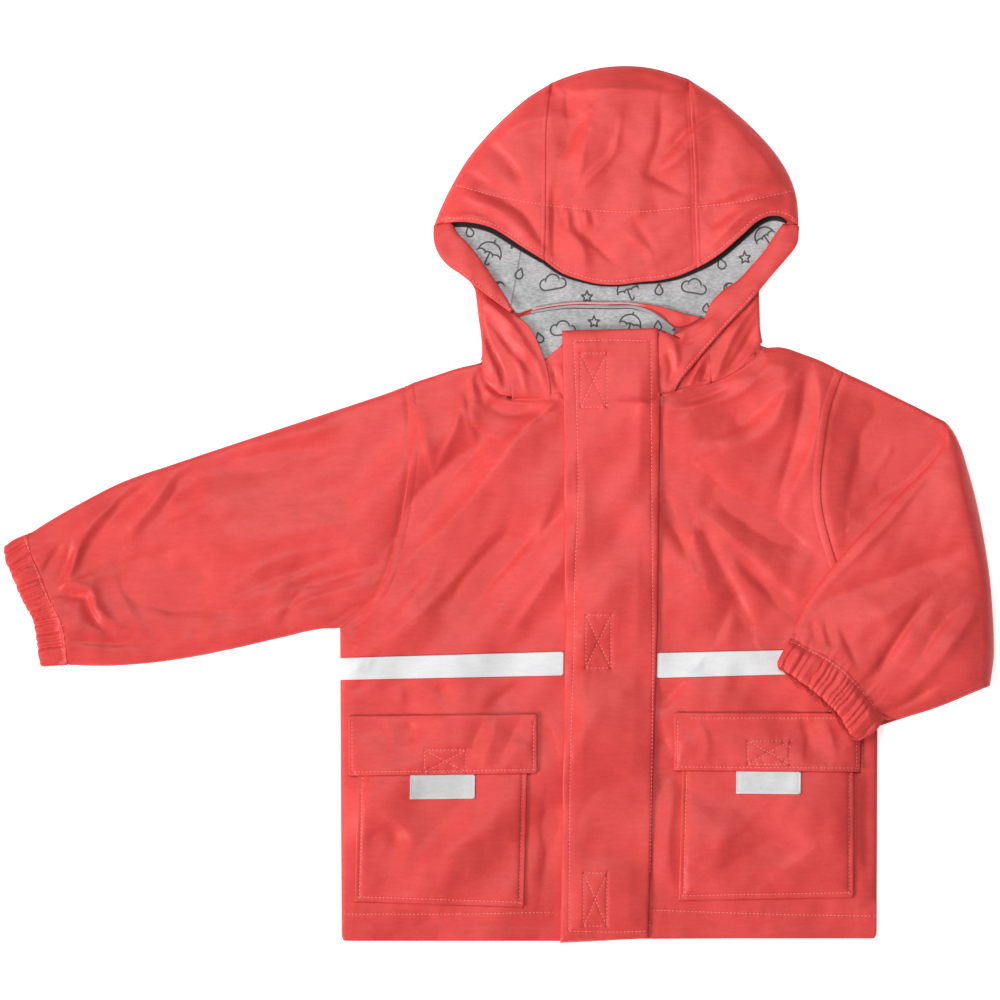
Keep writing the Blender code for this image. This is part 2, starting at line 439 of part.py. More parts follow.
def edge_distance(plan, lines):
    """Each point's distance to the nearest of some lines."""
    flat = plan.reshape(-1, 1, 2)
    nearest = np.full(len(flat), np.inf)
    for line in lines:
        start, step = line[:-1], np.diff(line, axis=0)
        share = ((flat - start) * step).sum(-1) / np.maximum((step**2).sum(-1), 1e-12)
        foot = start + np.clip(share, 0, 1)[..., None] * step
        nearest = np.minimum(nearest, np.linalg.norm(flat - foot, axis=-1).min(axis=1))
    return nearest.reshape(plan.shape[:-1])


def rounded(distance, reach):
    """0 at a folded edge, rising like a quarter circle to 1 at the reach."""
    return np.sqrt(1 - (1 - np.clip(distance / reach, 0, 1)) ** 2)


def folds(plan, table):
    """The height that a table of folds adds at each point."""
    total = np.zeros(plan.shape[:-1])
    steps = even(CURVE_STEPS + 1)[:, None]
    for x0, y0, x1, y1, bow, width, height in table:
        start, end = np.array([x0, y0]), np.array([x1, y1])
        run = end - start
        side = np.array([-run[1], run[0]]) / np.linalg.norm(run)
        spine = start + steps * run + side * bow * 4 * steps * (1 - steps)
        total += height * np.exp(-((edge_distance(plan, [spine]) / width) ** 2))
    return total


def free_edges():
    """The folded edges of the body and the two sleeves, where the upper cloth comes down to the floor."""
    sides = [
        np.array([(COLUMNS[column][2], ROWS[-1][height]), (COLUMNS[column][1], ROWS[0][height])])
        for column, height in ((0, 1), (-1, 4))
    ]
    seams = (SHOULDER_RIGHT, SHOULDER_LEFT, SLEEVE_TOP, SLEEVE_UNDER, UPPER_ARM_TOP, UPPER_ARM_UNDER,
             UPPER_ARM_FOOT)
    return sides + [smooth(seam) for seam in seams]


def laid_height(plan):
    """Height of the upper cloth of the body and the sleeves above the floor."""
    distance = edge_distance(plan, free_edges())
    hem = HEM_LIFT_SHARE + (1 - HEM_LIFT_SHARE) * rounded(plan[..., 1] - ROWS[0][1], HEM_ROUND)
    fade = np.clip(distance / FOLD_FADE, 0, 1)
    crease = folds(plan, BODY_FOLDS + SLEEVE_FOLDS)
    return np.maximum(PAIR + BODY_LIFT * rounded(distance, BODY_ROUND) * hem + crease * fade * hem, PAIR)


def crown_height(plan):
    """Height of the hood's upper cloth above the floor."""
    line = [smooth(edge) for edge in (HOOD_TOP_RIGHT, HOOD_TOP_CENTRE, HOOD_TOP_LEFT)]
    distance = edge_distance(plan, line)
    fade = np.clip(distance / FOLD_FADE, 0, 1)
    height = PAIR + CROWN_LIFT * rounded(distance, CROWN_ROUND) + folds(plan, HOOD_FOLDS) * fade
    return np.maximum(height, PAIR)


def node(name, points, faces, material):
    """A closed mesh object with its faces pointing out."""
    mesh = bpy.data.meshes.new(name)
    mesh.from_pydata(np.asarray(points).tolist(), [], faces)
    mesh.materials.append(look(material))
    shape = bmesh.new()
    shape.from_mesh(mesh)
    bmesh.ops.recalc_face_normals(shape, faces=shape.faces)
    shape.to_mesh(mesh)
    shape.free()
    made = bpy.data.objects.new(name, mesh)
    bpy.context.scene.collection.objects.link(made)
    return made


def with_height(plan, height):
    return np.concatenate([plan, np.broadcast_to(height, plan.shape[:-1])[..., None]], axis=-1)


def wall(name, top, thickness, material):
    """A wall of cloth under a grid of top points."""
    rows, columns = top.shape[:2]
    under = top - np.array([0, 0, 1]) * np.broadcast_to(thickness, top.shape[:2])[..., None]
    count = rows * columns
    faces = []
    for i in range(rows - 1):
        for j in range(columns - 1):
            a, b = i * columns + j, i * columns + j + 1
            c, d = b + columns, a + columns
            faces += [(a, b, c), (a, c, d)]
            faces += [(a + count, c + count, b + count), (a + count, d + count, c + count)]
    rim = [j for j in range(columns)]
    rim += [i * columns + columns - 1 for i in range(1, rows)]
    rim += [(rows - 1) * columns + j for j in range(columns - 2, -1, -1)]
    rim += [i * columns for i in range(rows - 2, 0, -1)]
    for a, b in zip(rim, rim[1:] + rim[:1]):
        faces.append((a, b, b + count, a + count))
    return node(name, np.concatenate([top.reshape(-1, 3), under.reshape(-1, 3)]), faces, material)


def slab(name, outline, thickness, material):
    """A flat piece that lies on the floor."""
    outline = np.array(outline)
    count = len(outline)
    low = with_height(outline, 0.0)
    high = with_height(outline, thickness)
    faces = [tuple(range(count)), tuple(range(2 * count - 1, count - 1, -1))]
    for a in range(count):
        b = (a + 1) % count
        faces.append((a, b, b + count, a + count))
    return node(name, np.concatenate([low, high]), faces, material)


def inset(outline, distance):
    """An outline moved in by a small distance."""
    outline = np.array(outline)
    step = np.roll(outline, -1, axis=0) - np.roll(outline, 1, axis=0)
    step /= np.linalg.norm(step, axis=1)[:, None]
    turn = np.cross(outline, np.roll(outline, -1, axis=0)).sum()
    return outline + np.sign(turn) * distance * np.column_stack([-step[:, 1], step[:, 0]])


def ring(plan, low, high):
    """Points round each section of a flat tube: across its top, then back under it."""
    middle = (low + high) / 2
    top, under = high.copy(), low[:, -2:0:-1]
    top[:, [0, -1]] = middle[:, [0, -1]]
    return np.concatenate([with_height(plan, top), with_height(plan[:, -2:0:-1], under)], axis=1)


def tube(name, plan, low, high, material, shut=False):
    """A flat open tube of cloth along a grid, closed at its first section where that is a fold."""
    across = plan.shape[1]
    width = np.linalg.norm(plan[:, -1] - plan[:, 0], axis=-1)[:, None, None]
    centre = (plan[:, :1] + plan[:, -1:]) / 2
    narrow = centre + (plan - centre) * (1 - 2 * CLOTH / width)
    middle = (low + high) / 2
    hollow_top = np.maximum(high - CLOTH, middle + 0.1 * SEAM_GAP)
    hollow_low = np.minimum(low + CLOTH, middle - 0.1 * SEAM_GAP)
    outer, inner = ring(plan, low, high), ring(narrow, hollow_low, hollow_top)
    inner = inner[1:] if shut else inner
    around, offset = outer.shape[1], outer.shape[0] * outer.shape[1]
    faces = []
    for start, count in ((0, len(outer)), (offset, len(inner))):
        for i in range(count - 1):
            for j in range(around):
                a, b = start + i * around + j, start + i * around + (j + 1) % around
                faces.append((a, b, b + around, a + around))
    last_outer, last_inner = offset - around, offset + (len(inner) - 1) * around
    mouths = [(last_outer, last_inner)] if shut else [(last_outer, last_inner), (0, offset)]
    for a, b in mouths:
        for j in range(around):
            k = (j + 1) % around
            faces.append((a + j, a + k, b + k, b + j))
    if shut:
        for start in (0, offset):
            under = [start] + [start + around - j for j in range(1, across - 1)] + [start + across - 1]
            for j in range(across - 1):
                corners = (start + j, start + j + 1, under[j + 1], under[j])
                faces.append(tuple(dict.fromkeys(corners)))
    return node(name, np.concatenate([outer.reshape(-1, 3), inner.reshape(-1, 3)]), faces, material)


def front_grid():
    """The plan of the whole front, hem to shoulder, and its column and row numbers by name."""
    columns = {row[0]: k for k, row in enumerate(COLUMNS)}
    at_hem, at_chest = (np.array([row[k] for row in COLUMNS]) for k in (1, 2))
    stations = [columns[name] for name in ("side_right", "placket_right", "placket_left", "side_left")]
    hem, chest = ROWS[0][1], ROWS[-1][1]
    plan = []
    for row in ROWS:
        x = at_hem + (at_chest - at_hem) * (row[1] - hem) / (chest - hem)
        plan.append(np.column_stack([x, np.interp(x, x[stations], row[1:])]))
    shoulder = np.concatenate(
        [smooth(SHOULDER_RIGHT), np.array(NECK_RIGHT), np.array(NECK_LEFT), smooth(SHOULDER_LEFT)]
    )
    tops = [ARMHOLE_RIGHT[-1][0], NECK_RIGHT[-1][0], NECK_LEFT[0][0], ARMHOLE_LEFT[-1][0]]
    top_x = np.interp(at_chest, at_chest[stations], tops)
    top_y = np.interp(top_x, shoulder[:, 0], shoulder[:, 1])
    shares, chest_y = edged(SLEEVE_ACROSS), plan[-1][:, 1]
    armholes = [spread(smooth(line), shares) for line in (ARMHOLE_RIGHT, ARMHOLE_LEFT)]
    for share, right, left in zip(shares[1:], armholes[0][1:], armholes[1][1:]):
        middle = [at_chest[k] * (1 - share) + top_x[k] * share for k in stations[1:3]]
        x = np.interp(at_chest, at_chest[stations], [right[0], *middle, left[0]])
        y = chest_y * (1 - share) + top_y * share
        y += np.interp(x, x[[0, -1]], [right[1] - y[0], left[1] - y[-1]])
        plan.append(np.column_stack([x, y]))
    return np.array(plan), columns, {row[0]: k for k, row in enumerate(ROWS)}


def trimmed(grid, start=0.0, end=0.0):
    """A grid whose first and last columns are moved in along its rows by a distance."""
    grid = grid.copy()
    for edge, inner, distance in ((0, 1, start), (-1, -2, end)):
        step = grid[:, inner] - grid[:, edge]
        length = np.linalg.norm(step[..., :2], axis=-1)[:, None]
        grid[:, edge] = grid[:, edge] + step * distance / length
    return grid


def pocket_bulge(plan):
    """How far a patch pocket stands off the front: least at its sides and foot, more at its open mouth."""
    rows, columns = plan.shape[:2]
    across, up = np.sin(np.pi * even(columns)), np.sin(np.pi * even(rows) * POCKET_MOUTH)
    creases = np.outer(up, across) * folds(plan, POCKET_FOLDS)
    return np.outer(up, POCKET_BULGE * across**POCKET_FLATNESS) + creases


def build_front():
    """Both fronts and what is sewn on them, each laid on the points of what is under it."""
    plan, column, row = front_grid()
    grid = with_height(plan, laid_height(plan))

    def part(first_row, last_row, first_column, last_column):
        """The same part of the grid for a piece and for what it lies on."""
        rows = slice(row[first_row], row[last_row] + 1 if last_row else None)
        return rows, slice(column[first_column], column[last_column] + 1)

    right, left = part("hem", None, "side_right", "centre"), part("hem", None, "centre", "side_left")
    wall("front_right", trimmed(grid[right], end=SEAM_SIDE), CLOTH, "coated_cloth")
    wall("front_left", trimmed(grid[left], start=SEAM_SIDE), CLOTH, "coated_cloth")

    def lay(name, where, thickness, material, bulge=0.0, start=0.0, end=0.0):
        """Lay a piece on what is under it, and leave its top for the next."""
        raised = grid[where] + np.array([0, 0, SEAM_GAP + thickness])
        raised[..., 2] += bulge
        grid[where] = raised
        wall(name, trimmed(raised, start, end), thickness, material)

    for side, edges in (("right", ("outer", "inner")), ("left", ("inner", "outer"))):
        ends = [f"{{}}_{side}_{edge}" for edge in edges]
        pocket = part("pocket_foot", "pocket_mouth", *(end.format("pocket") for end in ends))
        flap = part("flap_foot", "flap_seam", *(end.format("flap") for end in ends))
        label = part("label_foot", "flap_foot", *(end.format("label") for end in ends))
        sides = ("side_right", "placket_right") if side == "right" else ("placket_left", "side_left")
        tape = part("tape_foot", "tape_head", *sides)
        at_placket = {"end": SEAM_SIDE} if side == "right" else {"start": SEAM_SIDE}
        lay(f"tape_{side}", tape, TAPE_CLOTH, "reflective_tape", **at_placket)
        lay(f"pocket_{side}", pocket, CLOTH, "coated_cloth", pocket_bulge(grid[pocket][..., :2]))
        lay(f"label_{side}", label, LABEL_CLOTH, "label_satin")
        lay(f"flap_{side}", flap, CLOTH, "coated_cloth")

    placket = part("hem", None, "placket_right", "placket_left")
    base = grid[placket]
    share = even(PLACKET_TOP_ROWS + 1)[1:, None, None]
    head = np.array(PLACKET_HEAD)
    across = (base[-1, :, :1] - base[-1, 0, 0]) / (base[-1, -1, 0] - base[-1, 0, 0])
    crest = np.concatenate([head[0] + across * (head[1] - head[0]), base[-1, :, 2:] - CLOTH / 2], axis=1)
    stand = base[-1] + share * (crest - base[-1])
    top = np.concatenate([base, stand]) + np.array([0, 0, SEAM_GAP + PLACKET_CLOTH])
    top[0, :, 1] -= PLACKET_DROP * (1 - across[:, 0])
    wall("placket", top, PLACKET_CLOTH, "coated_cloth")
    return grid


def line_through(*edges):
    """One outline from several smooth edges, end to end."""
    line = [spread(smooth(edge), edged(SLEEVE_ACROSS if len(edge) > 2 else 2)) for edge in edges]
    return np.concatenate([piece[:-1] for piece in line])


def build_floor_layer():
    """The back of the body and of the hood, which lie flat on the floor."""
    hem = (ROWS[0][1], ROWS[0][4])
    corners = ((COLUMNS[0][1], hem[0]), (COLUMNS[-1][1], hem[1]))
    body = line_through(
        corners,
        (corners[1], ARMHOLE_LEFT[0]),
        ARMHOLE_LEFT,
        SHOULDER_LEFT[::-1],
        BACK_NECK,
        SHOULDER_RIGHT[::-1],
        ARMHOLE_RIGHT[::-1],
        (ARMHOLE_RIGHT[0], corners[0]),
    )
    hood = line_through(
        BACK_NECK[::-1],
        HOOD_SIDE_LEFT,
        HOOD_TOP_LEFT,
        HOOD_TOP_CENTRE[::-1],
        HOOD_TOP_RIGHT[::-1],
        HOOD_SIDE_RIGHT[::-1],
    )
    slab("back", inset(body, SEAM_SIDE), CLOTH, "coated_cloth")
    slab("hood_back", inset(hood, SEAM_SIDE), CLOTH, "coated_cloth")


def beside(line, distance):
    """A line moved sideways, to its left, by a distance."""
    step = np.gradient(line, axis=0)
    step /= np.linalg.norm(step, axis=1)[:, None]
    return line + distance * np.column_stack([-step[:, 1], step[:, 0]])


def sleeve_layers(plan):
    """Heights of a flat sleeve's upper cloth, and of its under cloth on the floor."""
    high = laid_height(plan)
    low = np.zeros_like(high)
    low[:, [1, -2]] = SEAM_GAP
    return low, high


def cuff_plan(seam, edge, gap):
    """The plan of a gathered cuff, its seam moved off the sleeve's by a gap."""
    seam, edge = beside(smooth(seam), gap), smooth(edge)
    ends = seam[[0, -1]], edge[[0, -1]]
    near, far = np.stack([ends[0][0], ends[1][0]]), np.stack([ends[0][1], ends[1][1]])
    return patch(near, far, seam, edge, even(CUFF_SECTIONS), even(2 * CUFF_GATHERS + 1))


def cuff(name, plan, low, high):
    """A gathered elastic casing between two heights."""
    across = even(plan.shape[1])
    wave = CUFF_WAVE * np.where(np.arange(plan.shape[1]) % 2, 1.0, -1.0)
    side = rounded(np.minimum(across, 1 - across), CUFF_ROUND)
    top = low + (high - low) * (CUFF_SIDE_SHARE + (1 - CUFF_SIDE_SHARE) * side) + wave
    top = np.broadcast_to(top, plan.shape[:2])
    tube(name, plan, np.full(plan.shape[:2], low), top, "coated_cloth")


def build_spread_sleeve():
    edges = [smooth(line) for line in (SLEEVE_TOP, SLEEVE_UNDER, ARMHOLE_RIGHT[::-1], CUFF_RIGHT_SEAM)]
    plan = patch(*edges, even(SLEEVE_SECTIONS), edged(SLEEVE_ACROSS))
    plan[0] = beside(plan[0], -SEAM_SIDE)
    low, high = sleeve_layers(plan)
    tube("sleeve_right", plan, low, high, "coated_cloth")
    plan = cuff_plan(CUFF_RIGHT_SEAM, CUFF_RIGHT_EDGE, -CUFF_SIDE)
    cuff("cuff_right", plan, 0.0, PAIR + CUFF_SHARE * BODY_LIFT)


def resting_height(plan, reach):
    """The height that clears every piece built so far, within a reach of each point."""
    built = [item.data.vertices for item in bpy.data.objects if item.type == "MESH"]
    points = np.concatenate([np.array([vertex.co for vertex in vertices]) for vertices in built])
    flat = plan.reshape(-1, 2)
    height = np.zeros(len(flat))
    for k, point in enumerate(flat):
        near = np.linalg.norm(points[:, :2] - point, axis=1) < reach
        height[k] = points[near, 2].max() if near.any() else 0.0
    return height.reshape(plan.shape[:-1]) + SEAM_GAP


def settled(height):
    """A height made even, nowhere lower than it was."""
    even_height = height
    for _ in range(REST_ROUNDS):
        padded = np.pad(even_height, 1, mode="edge")
        mean = (padded[:-2, 1:-1] + padded[2:, 1:-1] + padded[1:-1, :-2] + padded[1:-1, 2:]) / 4
        even_height = np.maximum(height, mean)
    return even_height


def build_folded_sleeve():
    """The left sleeve: its upper arm on the floor, and its forearm folded back over it and the front."""
    shares = edged(SLEEVE_ACROSS)
    armhole, under = spread(smooth(ARMHOLE_LEFT[::-1]), shares), smooth(UPPER_ARM_UNDER)
    mouth = np.concatenate([armhole, spread(under, even(UNDER_STEPS + 1))[1:]])
    length = np.concatenate([[0], np.cumsum(np.linalg.norm(np.diff(mouth, axis=0), axis=1))])
    edges = smooth(UPPER_ARM_TOP), smooth(UPPER_ARM_FOOT), mouth, smooth(UPPER_ARM_FOLD)
    plan = patch(*edges, even(UPPER_SECTIONS), length / length[-1])
    plan[0] = beside(plan[0], SEAM_SIDE)
    low, high = sleeve_layers(plan)
    tube("sleeve_left_upper", plan[::-1], low[::-1], high[::-1], "coated_cloth", shut=True)

    edges = [smooth(line) for line in (FOREARM_INNER, FOREARM_OUTER, FOREARM_FOLD, CUFF_LEFT_SEAM)]
    along = np.concatenate([[0, FOLD_WRAP], np.linspace(FOLD_STEP, 1, FOREARM_SECTIONS - 2)])
    plan, end = patch(*edges, along, shares), cuff_plan(CUFF_LEFT_SEAM, CUFF_LEFT_EDGE, -CUFF_SIDE)
    low = resting_height(plan, REST_REACH)
    rest = max(low[-1].max(), resting_height(end, CUFF_REACH).max())
    low[-1] = rest
    low = settled(low)
    low[0] = SEAM_GAP
    width = np.linalg.norm(plan[:, -1] - plan[:, 0], axis=-1)[:, None]
    distance = np.minimum(shares, 1 - shares) * width
    lift = FOREARM_LIFT * rounded(distance, BODY_ROUND)
    high = low + PAIR + lift + folds(plan, FOREARM_FOLDS) * np.clip(distance / FOLD_FADE, 0, 1)
    high[0] = low[1] * FOLD_HEIGHT
    high[1] = low[1] + FOLD_SHARE * (high[1] - low[1])
    tube("sleeve_left_fore", plan, low, high, "coated_cloth", shut=True)
    cuff("cuff_left", end, rest, rest + PAIR + CUFF_SHARE * FOREARM_LIFT)


def crown_panel(name, edges, rows, columns, gap=0.0):
    plan = patch(*(smooth(edge) for edge in edges), even(rows), even(columns))
    top = with_height(plan, crown_height(plan))
    wall(name, trimmed(top, gap, gap), CLOTH, "coated_cloth")


def build_hood():
    """The crown in three panels, and the lining that shows behind the brim."""
    split = CROWN_CORNER
    right = HOOD_TOP_RIGHT[:split], HOOD_SEAM_RIGHT[::-1], BRIM_RIGHT, HOOD_TOP_RIGHT[split - 1 :]
    centre = HOOD_SEAM_RIGHT[::-1], HOOD_SEAM_LEFT[::-1], BRIM_CENTRE, HOOD_TOP_CENTRE
    left = HOOD_SEAM_LEFT[::-1], HOOD_TOP_LEFT[:split], BRIM_LEFT[::-1], HOOD_TOP_LEFT[: split - 2 : -1]
    crown_panel("hood_side_right", right, *SIDE_GRID)
    crown_panel("hood_centre", centre, *CENTRE_GRID, gap=SEAM_SIDE)
    crown_panel("hood_side_left", left, *SIDE_GRID)
    edges = [smooth(line) for line in (LINING_RIGHT, LINING_LEFT, LINING_TOP, LINING_FOOT)]
    lining = patch(*edges, *(even(count) for count in LINING_GRID))
    wall("hood_lining", with_height(lining, PAIR), CLOTH, "jersey_lining")


def build_neck():
    """The rims of the face opening, the neck gores and what shows inside the neck."""
    ends = (FACING_TOP[0], FACING_FOOT[0]), (FACING_TOP[-1], FACING_FOOT[-1])
    edges = [smooth(line) for line in (*ends, FACING_TOP, FACING_FOOT)]
    facing = patch(*edges, *(even(count) for count in FACING_GRID))
    wall("neck_facing", with_height(facing, PAIR), CLOTH, "jersey_lining")
    for name, table, rows, columns, thickness, material in STRIPS:
        wall(name, sections(table, even(rows), even(columns)), thickness, material)


def centre_on_origin():
    """Put the middle of the laid jacket over the origin."""
    meshes = [item.data for item in bpy.data.objects if item.type == "MESH"]
    points = np.array([vertex.co[:2] for mesh in meshes for vertex in mesh.vertices])
    middle = (points.min(axis=0) + points.max(axis=0)) / 2
    for mesh in meshes:
        for vertex in mesh.vertices:
            vertex.co.x -= middle[0]
            vertex.co.y -= middle[1]


clear_scene()
build_floor_layer()
build_front()
build_hood()
build_neck()
build_spread_sleeve()
build_folded_sleeve()
centre_on_origin()
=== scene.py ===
"""A child's hooded rain jacket, laid flat with one sleeve folded over its front.

Every cloth piece takes its outline from its own node, and gets a fine mesh with rolled edges, the cloth's
folds, pressed seams and stitches. Plan positions, heights and widths here are in millimetres, counted
from the middle of the hem and from the floor.
"""

import json
import math

import bpy
import numpy as np
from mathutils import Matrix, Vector
from mathutils.bvhtree import BVHTree
from mathutils.geometry import delaunay_2d_cdt
from mathutils.kdtree import KDTree

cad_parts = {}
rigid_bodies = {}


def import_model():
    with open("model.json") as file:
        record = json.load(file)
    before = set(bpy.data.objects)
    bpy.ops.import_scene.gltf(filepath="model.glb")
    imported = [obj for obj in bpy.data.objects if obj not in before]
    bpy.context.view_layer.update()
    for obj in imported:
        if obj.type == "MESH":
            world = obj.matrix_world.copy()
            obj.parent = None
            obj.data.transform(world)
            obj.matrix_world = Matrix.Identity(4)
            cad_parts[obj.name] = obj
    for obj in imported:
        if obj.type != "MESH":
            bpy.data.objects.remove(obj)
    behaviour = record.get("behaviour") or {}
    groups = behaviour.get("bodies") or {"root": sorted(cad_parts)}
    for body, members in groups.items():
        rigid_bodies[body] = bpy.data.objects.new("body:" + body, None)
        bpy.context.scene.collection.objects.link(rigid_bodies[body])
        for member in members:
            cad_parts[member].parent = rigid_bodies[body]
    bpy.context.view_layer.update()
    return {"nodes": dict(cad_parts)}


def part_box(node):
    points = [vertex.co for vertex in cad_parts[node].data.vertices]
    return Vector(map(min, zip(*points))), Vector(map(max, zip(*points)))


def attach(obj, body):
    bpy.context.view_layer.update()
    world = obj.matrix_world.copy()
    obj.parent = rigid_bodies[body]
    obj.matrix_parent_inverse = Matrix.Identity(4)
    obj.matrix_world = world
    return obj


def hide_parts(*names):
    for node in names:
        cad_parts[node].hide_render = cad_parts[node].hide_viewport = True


PLACKET_RIGHT, PLACKET_TOP = -36.4, 428.4  # the storm flap's right side and its top, in the plan
VIEW_SIZE, VIEW_MIDDLE = 700.0, (-78.4, 308)
CLOTH, GAP = 1.6, 0.3  # a wall of cloth, and what lies between it and the next
PAIR = CLOTH + GAP + CLOTH  # the front laid on the back
TAPE_CLOTH, LABEL_CLOTH, PLACKET_CLOTH = 0.8, 0.7, 2.4
BODY_LIFT, BODY_ROUND = 3.6, 34.0  # how far cloth rises from its free edge, and the width of the rise
HEM_SHARE, HEM_ROUND = 0.35, 60.0  # the share of that rise at the hem, and how far up it is whole
CROWN_LIFT, CROWN_ROUND = 11.2, 48.0
FOREARM_LIFT = 3.2
FOLD_ROUND = 16.0  # of the elbow
RIM_ROLL = 1.3  # how far the turned edge of the face opening stands up
CUFF_GATHERS = 17
CUFF_DEPTH = {"cuff_right": 3.4, "cuff_left": 2.6}
CUFF_FULLNESS = 1.4  # the cuff's cloth is this much longer than its gathered width
GATHER_HEIGHT, GATHER_REACH = 1.1, 9.0  # of a cuff's gathers that run on into its sleeve
CUFF_TUCK = 2.6  # how far a sleeve goes under its cuff, and sinks for it
LIP_OUT, LIP_CURL = 3.9, 1.6  # how far the left cuff's lower layer shows, and turns up
BRIM_SHADOW_MIDDLE, BRIM_SHADOW_SIDE = 1.4, 3.7  # width of the brim's shadow painted on the lining, in the middle and at the sides

SPACING = 1.8  # between points of the cloth
UNDER_SPACING = 2.1  # and of the two panels that lie under the rest
GUIDE_SPACING = 1.2  # and of an outline that other pieces are measured from
EDGE_ROWS = (0.12, 0.40, 0.90)  # rows of points inside an edge
GROOVE_ROWS = (-1.4, -0.55, 0.0, 0.55, 1.4)  # rows of points beside a stitch line
INK_ROWS = (-0.78, -0.40, 0.40, 0.78)  # rows of points beside a printed line
INK_SPACING = 0.7
CORNER = math.radians(32)  # an outline turns more than this at a corner
SEAM_NEAR = 2.6  # outlines this close are sewn together
TUCK = 1.3  # how far a sleeve goes under the body at its armhole
GROOVE_DEPTH, GROOVE_WIDTH, PUCKER = 0.36, 0.8, 0.18
STITCH_PITCH, STITCH_LENGTH, STITCH_THICK = 2.7, 1.8, 0.5
STITCH_LIFT = 0.08
RIDGES = 1.55  # height of the long soft ridges in the body and the sleeves
FOLD_STRENGTH, FOLD_WIDTH = 1.95, 1.28  # every fold's height and width are this many times its table's
FOLD_CREST = 1.6  # 1 is a sharp crest and 2 a soft one


def clear_scene():
    for item in list(bpy.data.objects):
        bpy.data.objects.remove(item)


clear_scene()
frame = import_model()
scene = bpy.context.scene
placket_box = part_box("placket")  # SHIFT takes a place in the plan to the frame
SHIFT = np.array([placket_box[0].x * 1000 - PLACKET_RIGHT, placket_box[1].y * 1000 - PLACKET_TOP])


# Camera, floor and light

def aim_camera():
    """Straight above, with the hood at the top."""
    camera = bpy.data.objects.new("camera", bpy.data.cameras.new("camera"))
    scene.collection.objects.link(camera)
    camera.data.type = "ORTHO"
    camera.data.ortho_scale = VIEW_SIZE / 1000
    camera.data.dof.use_dof = False
    camera.location = (*((np.array(VIEW_MIDDLE) + SHIFT) / 1000), 2.0)
    scene.camera = camera


aim_camera()


# Outlines and fills

def cad_top(node):
    """A node's welded points in plan millimetres, and its triangles that face up."""
    mesh = frame["nodes"][node].data
    points = np.array([vertex.co for vertex in mesh.vertices]) * 1000
    _, first, index = np.unique(np.round(points, 1), axis=0, return_index=True, return_inverse=True)
    points = points[first]
    points[:, :2] -= SHIFT
    faces = index.reshape(-1)[np.array([face.vertices[:] for face in mesh.polygons])]
    corner = points[faces]
    normal = np.cross(corner[:, 1] - corner[:, 0], corner[:, 2] - corner[:, 0])
    return points, faces[normal[:, 2] > 0.05 * np.linalg.norm(normal, axis=1)]


def area_of(line):
    """Twice an outline's area is the sum of its cross products."""
    return np.cross(line, np.roll(line, -1, axis=0)).sum() / 2


def loop_of(node):
    """The outline of a node from above, as points that run anticlockwise."""
    points, faces = cad_top(node)
    edges = {(a, b) for face in faces.tolist() for a, b in zip(face, face[1:] + face[:1])}
    follow = {a: b for a, b in edges if (b, a) not in edges}
    loops = []
    while follow:
        start = next(iter(follow))
        loop = [start]
        while loop[-1] in follow:
            loop.append(follow.pop(loop[-1]))
        loops.append(points[loop[:-1], :2])
    return max(loops, key=area_of)


def smooth(points, steps=8):
    """A smooth line through the points, as closely spaced points."""
    points = np.asarray(points, float)
    if len(points) < 3:
        return points[0] + np.linspace(0, 1, steps + 1)[:, None] * (points[1] - points[0])
    knots = np.concatenate([[0], np.cumsum(np.linalg.norm(np.diff(points, axis=0), axis=1))])
    slopes = np.gradient(points, knots, axis=0)
    t = np.arange(1, steps + 1)[:, None] / steps
    line = [points[:1]]
    for i in range(len(points) - 1):
        span = knots[i + 1] - knots[i]
        line.append(
            (2 * t**3 - 3 * t**2 + 1) * points[i]
            + (t**3 - 2 * t**2 + t) * span * slopes[i]
            + (3 * t**2 - 2 * t**3) * points[i + 1]
            + (t**3 - t**2) * span * slopes[i + 1]
        )
    return np.concatenate(line)


def spread(line, spacing):
    """The same line with points this far apart, and both its ends kept."""
    length = np.concatenate([[0], np.cumsum(np.linalg.norm(np.diff(line, axis=0), axis=1))])
    at = np.linspace(0, length[-1], max(2, round(length[-1] / spacing) + 1))
    return np.column_stack([np.interp(at, length, line[:, k]) for k in range(2)])


def outline_of(node, spacing=SPACING):
    """A node's outline, smooth between its corners, with even points."""
    loop = loop_of(node)
    before, after = loop - np.roll(loop, 1, axis=0), np.roll(loop, -1, axis=0) - loop
    turn = np.arctan2(np.cross(before, after), (before * after).sum(axis=1))
    corners = np.flatnonzero(np.abs(turn) > CORNER)
    if not len(corners):
        corners = np.array([0])
    loop = np.roll(loop, -corners[0], axis=0)
    corners = np.append(corners - corners[0], len(loop))
    loop = np.concatenate([loop, loop[:1]])
    parts = [spread(smooth(loop[a : b + 1]), spacing)[:-1] for a, b in zip(corners, corners[1:])]
    return np.concatenate(parts)


def guide_of(*nodes, spacing=GUIDE_SPACING):
    """The outlines of some nodes, one after the other, as points to measure from."""
    return np.concatenate([outline_of(node, spacing) for node in nodes])


def curve(numbers):
    """A smooth line through places given as x, y, x, y."""
    return smooth(np.array(numbers, float).reshape(-1, 2))


def nearest(points, line):
    """Each point's distance to the nearest of the points of a line, and which point it is."""
    tree = KDTree(len(line))
    for k, point in enumerate(line):
        tree.insert((*point, 0), k)
    tree.balance()
    found = [tree.find((*point, 0)) for point in points]
    return np.array([entry[2] for entry in found]), np.array([entry[1] for entry in found])


